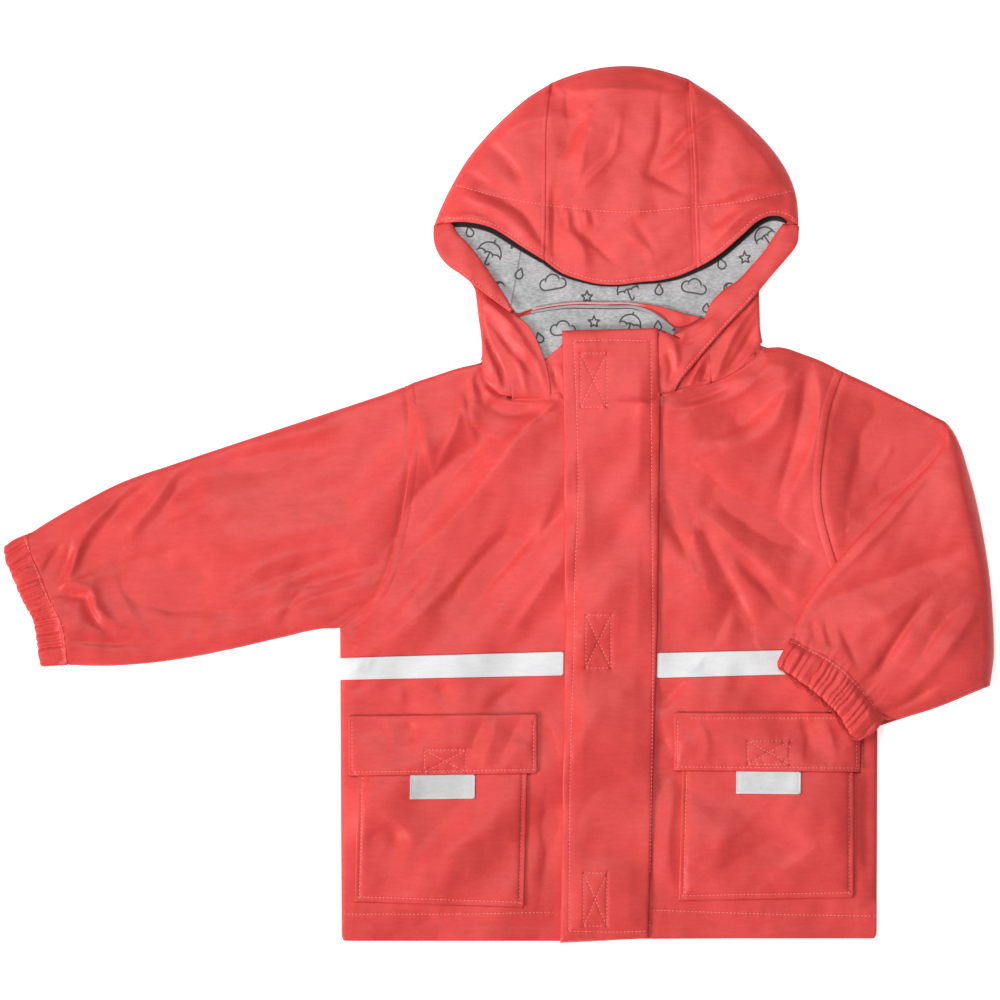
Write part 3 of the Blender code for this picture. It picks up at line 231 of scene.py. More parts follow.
def distance_to(points, line):
    """Each point's distance to a line of closely spaced points."""
    index = nearest(points, line)[1]
    best = np.full(len(points), np.inf)
    for a, b in ((index, (index + 1) % len(line)), (index - 1, index)):
        start, step = line[a], line[b] - line[a]
        size = (step**2).sum(axis=1)
        long = size > (4 * SPACING) ** 2
        share = np.clip(((points - start) * step).sum(axis=1) / np.maximum(size, 1e-9), 0, 1)
        share[long] = np.round(share[long])
        best = np.minimum(best, np.linalg.norm(points - start - share[:, None] * step, axis=1))
    return best


def normals_of(outline):
    """Unit vectors from an outline's points towards its inside."""
    step = np.roll(outline, -1, axis=0) - np.roll(outline, 1, axis=0)
    step /= np.linalg.norm(step, axis=1)[:, None]
    return np.column_stack([-step[:, 1], step[:, 0]])


def rounded_corners(outline, corners, reach):
    """An outline with its corners at these places rounded off."""
    line = outline.copy()
    for corner in corners:
        index = nearest([corner], outline)[1][0]
        count = round(reach / np.linalg.norm(outline[index] - outline[index - 1]))
        at = (index + np.arange(-count, count + 1)) % len(outline)
        a, b, c = outline[at[0]], outline[index], outline[at[-1]]
        t = np.linspace(0, 1, len(at))[:, None]
        line[at] = (1 - t) ** 2 * a + 2 * t * (1 - t) * b + t**2 * c
    return line


def rows_within(outline, spacing):
    """An even field of points inside an outline, row by row."""
    low, high = outline.min(axis=0), outline.max(axis=0)
    start, end = outline, np.roll(outline, -1, axis=0)
    field = []
    for k, y in enumerate(np.arange(low[1] + 0.37 * spacing, high[1], spacing * 0.866)):
        across = (start[:, 1] > y) != (end[:, 1] > y)
        a, b = start[across], end[across]
        cuts = np.sort(a[:, 0] + (y - a[:, 1]) / (b[:, 1] - a[:, 1]) * (b[:, 0] - a[:, 0]))
        for x0, x1 in zip(cuts[::2], cuts[1::2]):
            first = math.ceil(x0 / spacing - k % 2 / 2) + k % 2 / 2
            x = np.arange(first * spacing, x1, spacing)
            field.append(np.column_stack([x, np.full(len(x), y)]))
    return np.concatenate(field)


def beside(line, distance):
    """An open line moved sideways, to its left."""
    step = np.gradient(line, axis=0)
    step /= np.linalg.norm(step, axis=1)[:, None]
    return line + distance * np.column_stack([-step[:, 1], step[:, 0]])


def filled(outline, lines=(), ink_lines=(), spacing=SPACING):
    """Points and triangles that fill an outline: rows inside its edge, rows beside lines, and a field."""
    inward = normals_of(outline)
    rows = [outline]
    for distance in EDGE_ROWS:
        row = outline + distance * inward
        rows.append(row[distance_to(row, outline) > 0.85 * distance])
    inner_limit = EDGE_ROWS[-1] + 0.5 * spacing
    kept = []
    for drawing, distances, step in ((lines, GROOVE_ROWS, spacing), (ink_lines, INK_ROWS, INK_SPACING)):
        for line in drawing:
            for distance in distances:
                row = beside(spread(line, step), distance)
                kept.append(row[distance_to(row, outline) > EDGE_ROWS[-1] + 0.3])
    field = rows_within(outline, spacing)
    field = field[distance_to(field, outline) > inner_limit]
    if kept:
        kept = np.concatenate(kept)
        field = field[nearest(field, kept)[0] > 0.62 * spacing]
        rows.append(kept)
    points = np.concatenate([*rows, field])
    count = len(outline)
    loop = [list(range(count))]
    made, _, faces, came_from, _, _ = delaunay_2d_cdt(points.tolist(), [], loop, 1, 1e-4)
    made = np.array([vertex[:] for vertex in made])
    faces = np.array([face[:] for face in faces])
    used = np.unique(faces)
    number = np.full(len(made), -1)
    number[used] = np.arange(len(used))
    edge = np.array([any(k < count for k in source) for source in came_from])[used]
    return made[used], number[faces], edge


# Heights

def rounded(distance, reach):
    """0 at an edge, rising like a quarter circle to 1 at the reach."""
    return np.sqrt(1 - (1 - np.clip(distance / reach, 0, 1)) ** 2)


def waves(plan, length, count=28, seed=1):
    """An uneven field of about unit height, with waves of about this length."""
    draw = np.random.default_rng(seed)
    turn = draw.uniform(0, 2 * math.pi, count)
    pace = 2 * math.pi / (length * draw.uniform(0.7, 1.7, count))
    phase = draw.uniform(0, 2 * math.pi, count)
    along = plan[:, :1] * np.cos(turn) + plan[:, 1:] * np.sin(turn)
    return np.sin(along * pace + phase).sum(axis=1) / math.sqrt(count / 2)


def folds(plan, table, share=FOLD_STRENGTH):
    """The height that a table of folds adds at each point. A fold is steeper on one of its sides."""
    total = np.zeros(len(plan))
    for row, (height, width, *spine) in enumerate(table):
        line = spread(curve(spine), 1.5)
        width = width * FOLD_WIDTH
        reach = 3 * width + 4
        near = ((plan > line.min(axis=0) - reach) & (plan < line.max(axis=0) + reach)).all(axis=1)
        near = np.flatnonzero(near)
        if not len(near):
            continue
        distance, index = nearest(plan[near], line)
        step = np.gradient(line, axis=0)[index]
        off = plan[near] - line[index]
        side = np.sign(np.cross(step, off))
        lean = 0.42 * (1 if math.sin(2.4 * row) > 0 else -1)
        at = index / (len(line) - 1)
        taper = np.clip(np.minimum(at / 0.28, (1 - at) / 0.34), 0.0, 1) ** 0.8
        taper = 0.25 + 0.75 * taper
        spread_out = width * (1 + side * lean) * (0.75 + 0.25 * taper)
        total[near] += share * height * taper * np.exp(-((distance / spread_out) ** FOLD_CREST))
    return total


def drawn(plan, turn, length, seed, stretch=3.6):
    """An uneven field of long soft ridges that run at this turn, in degrees."""
    c, s = math.cos(math.radians(turn)), math.sin(math.radians(turn))
    return waves(plan @ np.array([[c / stretch, -s], [s / stretch, c]]), length, seed=seed)


def neighbour_mean(values, faces):
    """The mean of each point's neighbours."""
    a = faces[:, [0, 1, 2, 1, 2, 0]].reshape(-1)
    b = faces[:, [1, 2, 0, 0, 1, 2]].reshape(-1)
    count = np.bincount(a, minlength=len(values))
    return np.bincount(a, weights=values[b], minlength=len(values)) / np.maximum(count, 1)


def settled(height, faces, rounds, floor=True):
    """A height made even, and nowhere lower than it was if it lies on something."""
    calm = height.copy()
    for _ in range(rounds):
        calm = neighbour_mean(calm, faces)
        if floor:
            calm = np.maximum(height, calm)
    return calm


finished = {}


def stack(names=None):
    """A search tree of the tops of finished pieces."""
    points, faces, count = [], [], 0
    for piece_points, piece_faces in (finished[name] for name in names or finished):
        points.append(piece_points)
        faces.append(piece_faces + count)
        count += len(piece_points)
    return BVHTree.FromPolygons(np.concatenate(points).tolist(), np.concatenate(faces).tolist())


def height_below(plan, tree, missing=0.0):
    """Height of what lies under each point."""
    down = Vector((0, 0, -1))
    found = [tree.ray_cast(Vector((x, y, 200)), down)[0] for x, y in plan]
    return np.array([missing if hit is None else hit.z for hit in found])


def cad_height(node, plan):
    """Height of a node's own top at each point, or at the nearest place on it."""
    points, faces = cad_top(node)
    flat = points.copy()
    flat[:, 2] = 0
    tree = BVHTree.FromPolygons(flat.tolist(), faces.tolist())
    height = []
    for x, y in plan:
        spot, _, index, _ = tree.find_nearest(Vector((x, y, 0)))
        a, b, c = points[faces[index]]
        normal = np.cross(b - a, c - a)
        height.append(a[2] - (normal[0] * (spot.x - a[0]) + normal[1] * (spot.y - a[1])) / normal[2])
    return np.array(height)


# Meshes

def object_from(name, points, faces, material):
    """A piece from points in the plan and their faces, set in the frame."""
    mesh = bpy.data.meshes.new(name)
    metres = np.array(points, float)
    metres[:, :2] += SHIFT
    mesh.from_pydata((metres / 1000).tolist(), [], [tuple(face) for face in faces])
    mesh.materials.append(material)
    mesh.shade_smooth()
    made = bpy.data.objects.new(name, mesh)
    scene.collection.objects.link(made)
    return made


def paint(piece, name, values):
    """A share for each point that the piece's material reads."""
    shares = piece.data.attributes.new(name, "FLOAT", "POINT")
    shares.data.foreach_set("value", np.asarray(values, np.float32))


def plan_of(piece):
    """A finished piece's points, in the plan."""
    return np.array([vertex.co[:2] for vertex in piece.data.vertices]) * 1000 - SHIFT


def sheet_of(name, plan, faces, edge, top, low, material):
    """A closed wall of cloth between two heights that meet at its edge."""
    count = len(plan)
    inner = np.flatnonzero(~edge)
    number = np.arange(count)
    number[inner] = count + np.arange(len(inner))
    points = np.concatenate([np.column_stack([plan, top]), np.column_stack([plan, low])[inner]])
    finished[name] = (np.column_stack([plan, top]), faces)
    return object_from(name, points, np.concatenate([faces, number[faces[:, ::-1]]]).tolist(), material)


def tube_of(name, plan, faces, edge, mouth, top, low, material, out=0.0, curl=0.0):
    """A hollow flat tube of cloth, open where its edge is a mouth. Its lower layer may go out and up."""
    count = len(plan)
    boundary = {(a, b) for face in faces.tolist() for a, b in zip(face, face[1:] + face[:1])}
    boundary = [(a, b) for a, b in boundary if (b, a) not in boundary]
    follow = dict(boundary)
    inward = np.zeros((count, 2))
    for a, b in boundary:
        step = plan[b] - plan[a]
        inward[[a, b]] += np.array([-step[1], step[0]]) / np.linalg.norm(step)
    size = np.linalg.norm(inward, axis=1)
    inward[size > 0] /= size[size > 0][:, None]
    closed = edge & ~mouth
    narrow = plan + inward * (CLOTH * closed)[:, None]
    middle = (top + low) / 2
    inner_top = np.where(closed, middle, np.maximum(top - CLOTH, middle + 0.05))
    inner_low = np.where(closed, middle, np.minimum(low + CLOTH, middle - 0.05))
    top, low = np.where(closed, middle, top), np.where(closed, middle, low)
    numbers = [np.arange(count) + k * count for k in range(4)]
    numbers[1] = np.where(closed, numbers[0], numbers[1])
    numbers[3] = np.where(closed, numbers[2], numbers[3])
    layers = [(plan, top), (plan + out, low + curl), (narrow, inner_top), (narrow + out, inner_low + curl)]
    points = np.concatenate([np.column_stack(layer) for layer in layers])
    skins = [numbers[0][faces], numbers[1][faces[:, ::-1]], numbers[2][faces[:, ::-1]], numbers[3][faces]]
    rims = []
    for a, b in follow.items():
        if mouth[a] or mouth[b]:
            rims.append([numbers[0][b], numbers[0][a], numbers[2][a], numbers[2][b]])
            rims.append([numbers[1][a], numbers[1][b], numbers[3][b], numbers[3][a]])
    rims = [list(dict.fromkeys(rim)) for rim in rims]
    finished[name] = (np.column_stack([plan, top]), faces)
    skins = np.concatenate(skins).tolist() + [rim for rim in rims if len(rim) > 2]
    used = np.unique(np.concatenate([np.array(face) for face in skins]))
    number = np.zeros(len(points), int)
    number[used] = np.arange(len(used))
    piece = object_from(name, points[used], [number[face].tolist() for face in skins], material)
    # Painted shade: the inner skins are marked 'inside' so that the red cloth darkens them, fading in from
    # the rim.
    from_rim = np.clip(nearest(plan, plan[edge])[0] - 0.4, 0, 1)
    paint(piece, "inside", (used >= 2 * count) * from_rim[used % count])
    return piece


# Materials

class Value:
    """A shader socket that works in formulas."""

    tree = None

    def __init__(self, socket):
        self.socket = socket

    @classmethod
    def node(cls, kind, settings=(), output=0, **inputs):
        made = cls.tree.nodes.new(kind)
        for name, value in dict(settings).items():
            setattr(made, name, value)
        for name, value in inputs.items():
            name = name.replace("_", " ").strip()
            socket = made.inputs[int(name)] if name.isdigit() else made.inputs[name]
            if isinstance(value, Value):
                cls.tree.links.new(value.socket, socket)
            else:
                socket.default_value = value
        return cls(made.outputs[output])

    def maths(self, operation, other=0.0, third=0.0):
        return self.node("ShaderNodeMath", {"operation": operation}, _0=self, _1=other, _2=third)

    def __add__(self, other):
        return self.maths("ADD", other)

    __radd__ = __add__

    def __mul__(self, other):
        return self.maths("MULTIPLY", other)

    __rmul__ = __mul__

    def __sub__(self, other):
        return self.maths("SUBTRACT", other)

    def __rsub__(self, other):
        return (self * -1.0) + other

    def clamped(self, low, high):
        """0 to 1 as this value goes from low to high."""
        ends = {"From_Min": low, "From_Max": high, "To_Min": 0.0, "To_Max": 1.0}
        return self.node("ShaderNodeMapRange", {"clamp": True}, Value=self, **ends)


def mix(share, a, b):
    """A colour between two others."""
    return Value.node("ShaderNodeMix", {"data_type": "RGBA"}, output=2, _0=share, _6=a, _7=b)


def attribute(name):
    return Value.node("ShaderNodeAttribute", {"attribute_name": name}, output=2)


def noise(place, scale, detail=2.0, rough=0.5):
    return Value.node("ShaderNodeTexNoise", Vector=place, Scale=scale, Detail=detail, Roughness=rough)


def material(name, colour_of, rough_of, bumps, sheen=0.0):
    """A cloth material: a colour and a roughness that vary from place to place, and fine relief."""
    made = bpy.data.materials.new(name)
    made.use_nodes = True
    Value.tree = made.node_tree
    shader = made.node_tree.nodes["Principled BSDF"]
    place = Value.node("ShaderNodeTexCoord", output=3)
    made.node_tree.links.new(colour_of(place).socket, shader.inputs["Base Color"])
    made.node_tree.links.new(rough_of(place).socket, shader.inputs["Roughness"])
    normal = None
    for height, distance in bumps(place):
        settings = {"Height": height, "Distance": distance, "Strength": 1.0}
        if normal:
            settings["Normal"] = normal
        normal = Value.node("ShaderNodeBump", **settings)
    made.node_tree.links.new(normal.socket, shader.inputs["Normal"])
    shader.inputs["Sheen Weight"].default_value = sheen
    shader.inputs["Specular IOR Level"].default_value = 0.34
    return made


# Painted shade: the inside of a tube is coloured this dark red, as if in shadow.
TUBE_INSIDE_SHADE = (0.16, 0.012, 0.012, 1)


def coated(deep, plain):
    """Colour of coated cloth, a little uneven, and darkened by painted shade on the inside of tubes."""
    def colour_of(place):
        stretched = Value.node("ShaderNodeMapping", Vector=place, Scale=(0.25, 1.0, 1.0))
        wide, fine, streak = noise(place, 38.0), noise(place, 700.0), noise(stretched, 420.0)
        uneven = (wide * 0.5 + fine * 0.25 + streak * 0.25).clamped(0.3, 0.7)
        # painted shade on the inner skins of tubes
        return mix(attribute("inside") * 0.8, mix(uneven, (*deep, 1), (*plain, 1)), TUBE_INSIDE_SHADE)
    return colour_of


def cloth_material(name, deep, plain, rough=0.50, grain=0.00003):
    return material(
        name,
        coated(deep, plain),
        lambda place: noise(place, 240.0) * 0.12 + (rough - 0.06),
        lambda place: [(noise(place, 1500.0, 1.0), grain), (noise(place, 260.0, 2.0), 0.00006)],
    )


RED = cloth_material("red_coated_cloth", (0.60, 0.040, 0.037), (0.75, 0.069, 0.064))
THREAD = cloth_material("pink_thread", (0.87, 0.20, 0.18), (0.95, 0.31, 0.29), 0.7)
TAPE = cloth_material("silver_tape", (0.62, 0.62, 0.63), (0.76, 0.76, 0.77), 0.40)
SATIN = cloth_material("silver_satin", (0.50, 0.50, 0.50), (0.66, 0.66, 0.66), 0.32)
GREY_TAPE = cloth_material("grey_neck_tape", (0.24, 0.24, 0.245), (0.40, 0.40, 0.41), 0.9)


def piping(place):
    """The piping's cloth is pale where the lining's edge covers it."""
    red = mix(noise(place, 60.0), (0.60, 0.034, 0.030, 1), (0.72, 0.056, 0.050, 1))
    pale = mix(noise(place, 500.0), (0.50, 0.24, 0.23, 1), (0.70, 0.40, 0.38, 1))
    return mix(attribute("pale"), red, pale)


def marl(place):
    """Grey marl in short streaks across, with printed lines, the side seam as a line of painted shade, and
    the brim's shadow painted on as a dark band.
    """
    stretched = Value.node("ShaderNodeMapping", Vector=place, Scale=(0.35, 1.0, 1.0))
    streaks = noise(stretched, 900.0, 3.0, 0.7).clamped(0.3, 0.7)
    wide = noise(place, 90.0).clamped(0.35, 0.65)
    grey = mix(streaks * 0.75 + wide * 0.25, (0.24, 0.24, 0.245, 1), (0.56, 0.56, 0.57, 1))
    # dark print, and the side seam's line of painted shade
    printed = mix(attribute("print_and_seam_shade") * 0.92, grey, (0.045, 0.040, 0.042, 1))
    # painted shadow of the brim: near-black within a set width of the brim's edge
    return mix(attribute("band").clamped(-0.35, 0.35), printed, (0.020, 0.012, 0.012, 1))


JERSEY = material(
    "grey_marl_jersey",
    marl,
    lambda place: noise(place, 500.0) * 0.1 + 0.85,
    lambda place: [(noise(place, 1600.0, 2.0), 0.00008)],
)
PIPING = material(
    "neck_piping_cloth",
    piping,
    lambda place: noise(place, 240.0) * 0.12 + 0.4,
    lambda place: [(noise(place, 900.0, 2.0), 0.00006)],
)


# Where the cloth folds: height, width, then the points of the fold's spine

BODY_FOLDS = (
    (-2.9, 7.5, -86.8, 350, -120.4, 322, -147, 287),
    (2.5, 9.5, -53.2, 372.4, -99.4, 308, -154, 255.5),
    (-0.9, 3.0, -72.8, 287, -88.2, 257.6, -92.4, 238),
    (1.3, 6.0, -85.4, 283.5, -123.2, 238, -168, 203),
    (1.3, 5.0, -39.2, 311.5, -58.8, 273, -85.4, 243.6),
    (-2.9, 10.0, -33.6, 299.6, -78.4, 264.6, -131.6, 226.8),
    (1.1, 4.5, -34.3, 267.4, -70, 216.3),
    (-0.8, 4.5, -123.2, 266, -162.4, 220.5),
    (0.8, 3.2, -137.2, 375.2, -133, 355.6, -124.6, 326.2),
    (1.0, 3.2, -105, 379.4, -112, 352.8, -124.6, 326.2),
    (-1.1, 3.4, -101.5, 392, -96.6, 358.4, -82.6, 351.4),
    (1.0, 3.6, -105.7, 382.2, -95.9, 346.5),
    (-1.0, 3.6, -46.9, 375.2, -62.3, 361.2, -78.4, 350),
    (-1.6, 6.0, 126, 393.4, 95.2, 364, 61.6, 350),
    (1.3, 5.5, 107.1, 400.4, 54.6, 369.6),
    (2.2, 11.0, 124.6, 406, 109.2, 357, 75.6, 343),
    (-1.3, 4.8, 135.8, 399, 130.9, 361.2, 116.9, 313.6),
    (1.2, 4.2, 143.5, 404.6, 143.5, 359.1, 123.2, 308),
    (-2.3, 7.0, 65.8, 326.2, 87.5, 305.2, 140, 271.6),
    (2.2, 8.5, 63, 299.6, 103.6, 266, 131.6, 238),
    (-2.6, 8.0, 63, 287, 81.2, 252, 98, 215.6),
    (-1.2, 4.2, 90.3, 262.5, 128.1, 226.8),
    (0.9, 4.0, 56.7, 287.7, 54.6, 270.2),
    (-0.9, 3.0, 34.3, 308, 51.8, 272.3),
    (1.0, 9.0, 46.9, 266, 77, 238),
    (-1.0, 5.0, 82.6, 231.7, 72.1, 208.6),
    (1.3, 2.6, -91, 397.6, -87.5, 385, -75.6, 378, -57.4, 375.2),
    (-1.8, 6.0, -88.2, 375.2, -70, 369.6, -44.8, 369.6),
    (1.2, 2.6, -39.2, 375.2, -50.4, 368.2, -63, 358.4),
    (1.1, 3.2, -96.6, 401.8, -99.4, 389.2, -96.6, 376.6),
    (-1.3, 3.6, -91.7, 404.6, -93.1, 389.2, -89.6, 376.6),
    (-1.1, 3.0, 39.2, 375.2, 61.6, 379.4, 91, 389.2),
    (1.0, 3.2, 36.4, 371, 63, 374.5, 95.2, 386.4, 106.4, 400.4),
    (-1.1, 3.2, 106.4, 411.6, 105, 401.8, 99.4, 392),
    (-1.8, 8.0, 36.4, 308, 50.4, 280, 61.6, 254.8),
    (0.45, 3.4, -49, 159.6, -39.2, 145.6, -34.3, 124.6),
    (-0.4, 3.4, -53.2, 163.8, -42.7, 148.4, -38.5, 126),
    (-1.7, 7.0, -46.9, 98, -44.8, 63, -50.4, 33.6),
    (-1.2, 6.0, 35, 154, 36.4, 126, 33.6, 98),
    (1.2, 6.0, 43.4, 105, 39.2, 63, 43.4, 32.2),
    (-1.1, 5.0, 179.2, 119, 177.8, 77, 180.6, 35),
    (0.9, 5.0, -148.4, 177.8, -147, 165.2),
    (-0.9, 5.0, -120.4, 179.2, -116.2, 163.8),
    (-0.9, 4.5, -187.6, 172.2, -170.1, 179.9),
    (-1.0, 5.0, -87.5, 162.4, -65.1, 179.9),
    (-1.4, 5.0, 32.9, 162.4, 52.5, 182.7),
)
SLEEVE_FOLDS = (
    (1.4, 4.2, -323.4, 326.9, -350, 304.5, -366.8, 286.3, -381.5, 256.2),
    (-2.4, 8.0, -327.6, 319.2, -358.4, 285.6, -375.2, 261.8),
    (1.7, 7.0, -303.8, 330.4, -337.4, 285.6),
    (-2.0, 7.0, -291.2, 333.2, -312.2, 303.8, -329, 287),
    (-0.8, 4.0, -284.2, 306.6, -315.7, 291.9),
    (-0.8, 7.0, -193.9, 344.4, -254.1, 336.7),
    (1.0, 5.0, -190.4, 370.3, -240.8, 350, -259.7, 345.8),
    (0.8, 8.0, -193.9, 304.5, -287.7, 297.5),
    (-0.8, 4.5, -297.5, 275.1, -350, 261.8),
    (1.0, 5.5, -184.8, 276.5, -240.8, 263.2, -274.4, 245),
    (-1.2, 5.5, -184.8, 273, -231.7, 254.1, -267.4, 239.4),
    (-1.6, 8.0, -331.1, 245, -308.7, 233.8, -259.7, 231),
    (0.8, 6.0, -351.4, 257.6, -341.6, 237.3, -324.8, 210.7),
    (-2.0, 2.2, -387.8, 242.9, -378, 242.2, -368.9, 240.1, -366.1, 231, -360.5, 222.6, -350, 215.6),
    (1.7, 2.4, -387.8, 247.8, -376.6, 247.8, -364.7, 244.3, -361.9, 233.8, -355.6, 226.1, -345.8, 219.8),
    (-1.7, 2.8, -378.7, 275.8, -383.6, 257.6, -389.2, 245),
    (1.6, 2.6, -373.1, 275.8, -378, 260.4, -385, 248.5),
    (-1.1, 2.6, -386.4, 277.2, -394.8, 263.2, -399, 256.2),
    (0.8, 4.0, -381.5, 250.6, -353.5, 256.2),
    (-1.2, 2.6, -379.4, 210, -347.9, 207.2, -326.9, 209.3),
    (-2.2, 5.0, -218.4, 215.6, -193.9, 222.6, -166.6, 238),
    (-1.5, 3.6, -225.4, 246.4, -197.4, 252.7, -165.2, 261.8),
    (-0.9, 4.0, -216.3, 246.4, -233.1, 220.5),
    (1.4, 4.6, -239.4, 226.8, -204.4, 240.8, -165.2, 250.6),
    (-1.8, 8.0, 203.7, 376.6, 184.8, 361.2, 170.8, 329, 163.8, 294),
    (1.2, 5.5, 198.8, 348.6, 187.6, 326.2),
    (0.9, 3.4, 225.4, 364, 213.5, 336),
    (-0.8, 3.4, 219.1, 365.4, 206.5, 345.1),
    (-2.3, 9.0, 229.6, 357, 201.6, 324.8, 170.8, 294),
)
ARMHOLE_FOLDS = (  # over the seams, the same on both sides of them
    (1.15, 11.0, 161, 388.5, 149.1, 350, 146.3, 315, 158.2, 271.6),
)
FOREARM_FOLDS = (
    (0.7, 3.0, 238, 350.7, 198.8, 298.2, 144.2, 242.2),
    (-1.7, 8.0, 247.8, 274.4, 195.3, 254.8, 140, 233.8),
    (1.4, 8.0, 229.6, 252, 170.8, 215.6),
    (-2.0, 4.4, 217.7, 236.6, 202.3, 213.5, 184.1, 187.6, 174.3, 177.8),
    (-1.3, 4.2, 243.6, 234.5, 225.4, 213.5, 215.6, 196.7),
    (1.6, 5.2, 253.4, 228.9, 232.4, 198.8, 202.3, 166.6),
    (1.1, 4.2, 213.5, 223.3, 195.3, 195.3),
    (-0.8, 2.6, 140.7, 223.3, 144.2, 206.5),
    (-0.8, 2.6, 148.4, 222.6, 154, 204.4),
    (-0.8, 2.6, 159.6, 218.4, 172.2, 190.4),
    (-1.2, 3.2, 228.9, 178.5, 191.1, 157.5),
)
HOOD_FOLDS = (
    (1.4, 3.4, -29.4, 595, 2.1, 597.1, 35, 594.3),
    (-1.2, 3.6, -31.5, 594.3, -30.8, 574.7),
    (-1.4, 4.8, -18.2, 578.2, -27.3, 564.2, -34.3, 546),
    (1.0, 3.6, -16.1, 574.7, -20.3, 555.1, -23.8, 525),
    (-0.9, 3.2, 2.8, 569.8, -2.1, 551.6, -20.3, 534.1, -25.2, 518),
    (0.8, 3.6, 6.3, 574.7, -0.7, 549.5, -18.2, 529.9),
    (-1.0, 3.6, 33.6, 587.3, 33.6, 565.6, 24.5, 537.6),
    (-1.5, 3.2, 72.8, 580.3, 56.7, 569.8, 33.6, 544.6),
    (0.8, 4.5, 35, 537.6, 54.6, 553),
    (-0.8, 4.0, 22.4, 537.6, 51.1, 522.9),
    (-1.0, 3.6, -88.2, 560.7, -68.6, 541.1, -59.5, 518),
    (0.8, 5.0, -79.1, 567.7, -34.3, 578.2),
    (-1.0, 4.0, -105.7, 541.1, -88.2, 529.9, -65.1, 522.9),
    (0.8, 5.0, 98, 557.2, 122.5, 529.9),
    (1.0, 4.5, 76.3, 518, 98, 526.4, 122.5, 526.4),
    (-1.0, 3.6, 72.8, 513.8, 98, 522.9, 126, 525.7),
    (1.3, 3.6, -105.7, 521.5, -81.2, 510.3, -52.5, 485.8),
    (-1.2, 3.4, -91.7, 522.9, -63, 508.9, -49, 487.2),
    (1.0, 3.0, -120.4, 501.9, -98.7, 506.8, -81.2, 499.8),
    (-1.2, 2.4, -41.3, 526.4, -41.3, 480.2),
    (0.9, 4.0, -32.9, 497.7, -20.3, 483.7, -16.8, 469.7),
    (-0.9, 3.0, -27.3, 499.8, 2.8, 473.2),
    (0.9, 4.5, 6.3, 497.7, 26.6, 480.2, 30.1, 469.7),
    (-0.8, 4.0, 14, 506.8, 30.1, 481.6),
    (-0.8, 1.6, -37.1, 513.8, -35, 501.2),
    (0.7, 1.6, -32.2, 513.1, -30.1, 498.4),
    (-0.8, 1.6, -26.6, 512.4, -24.5, 497),
    (0.7, 1.6, -20.3, 511.7, -17.5, 499.8),
    (-0.6, 1.6, -14, 511, -11.9, 499.8),
    (1.2, 4.4, 70.7, 487.2, 93.8, 508.9, 115.5, 519.4),
    (-1.0, 4.0, 67.2, 497.7, 88.9, 512.4),
)
NECK_FOLDS = (
    (1.3, 2.4, -92.4, 450.8, -73.5, 434, -59.5, 417.2),
    (-1.2, 2.2, -86.8, 435.4, -74.9, 418.6, -57.4, 397.6),
    (0.9, 2.4, -72.8, 424.2, -57.4, 411.6, -46.9, 389.2),
    (-1.3, 1.8, -89.6, 432.6, -85.4, 415.8, -78.4, 400.4, -75.6, 389.2),
    (1.3, 2.0, -91.7, 424.2, -86.8, 408.8, -80.5, 396.2, -77.7, 387.8),
    (-1.0, 2.0, -91, 411.6, -87.5, 393.4, -83.3, 386.4),
    (1.0, 2.0, -68.6, 411.6, -63, 394.8, -60.2, 382.2),
    (-0.8, 2.2, -56, 408.8, -50.4, 392, -46.9, 382.2),
    (1.0, 2.0, -39.2, 404.6, -35, 392, -30.8, 383.6),
    (-1.2, 1.6, -42, 397.6, -37.8, 385),
    (1.2, 2.4, 100.8, 445.9, 86.1, 424.2, 71.4, 390.6),
    (-1.0, 2.2, 101.5, 434, 90.3, 413, 77, 393.4),
    (1.0, 2.4, 101.5, 416.5, 91, 400.4, 81.2, 392),
    (1.3, 2.2, 65.8, 411.6, 58.8, 397.6, 53.2, 385),
    (-1.3, 1.8, 67.9, 404.6, 61.6, 389.2),
    (-1.0, 1.8, 61.6, 410.2, 53.2, 394.8, 49, 385),
)
RIM_FOLDS = (
    (1.2, 2.6, 42, 420, 45.5, 408.8, 44.8, 397.6),
    (-1.2, 2.4, 37.8, 411.6, 41.3, 401.8, 39.2, 387.8),
    (1.0, 2.4, 54.6, 421.4, 61.6, 427, 72.8, 436.8),
    (-0.8, 2.2, 47.6, 414.4, 57.4, 421.4, 68.6, 429.8),
)
FLAP_FOLDS = (
    (-0.8, 3.6, -90.3, 155.4, -95.9, 138.6, -102.2, 120.4),
    (0.8, 3.6, -80.5, 155.4, -86.1, 138.6, -89.6, 120.4),
    (-0.7, 3.2, -64.4, 154, -72.1, 136.5, -79.1, 120.4),
    (0.6, 4.0, -158.2, 154, -154, 138.6, -156.8, 121.8),
    (-0.6, 4.0, -141.4, 152.6, -138.6, 137.2),
    (0.7, 3.6, 61.6, 152.6, 67.2, 138.6, 65.8, 124.6),
    (-0.7, 3.4, 131.6, 156.8, 137.2, 141.4, 135.8, 126),
    (0.7, 3.6, 147, 156.8, 154, 141.4, 156.8, 127.4),
)
TAPE_FOLDS = (
    (0.75, 1.8, -188.3, 190.4, -181.3, 195.3, -172.2, 200.2),
    (0.45, 1.6, -186.9, 184.8, -179.2, 189, -173.6, 193.2),
    (0.4, 1.4, -166.6, 198.1, -171.5, 189.7),
    (-0.5, 1.4, -58.8, 187.6, -50.4, 190.4, -39.2, 189),
    (0.4, 1.4, -60.2, 191.1, -51.8, 193.2, -42, 191.8),
    (0.65, 2.0, 49, 185.5, 57.4, 191.1, 63, 198.1),
)
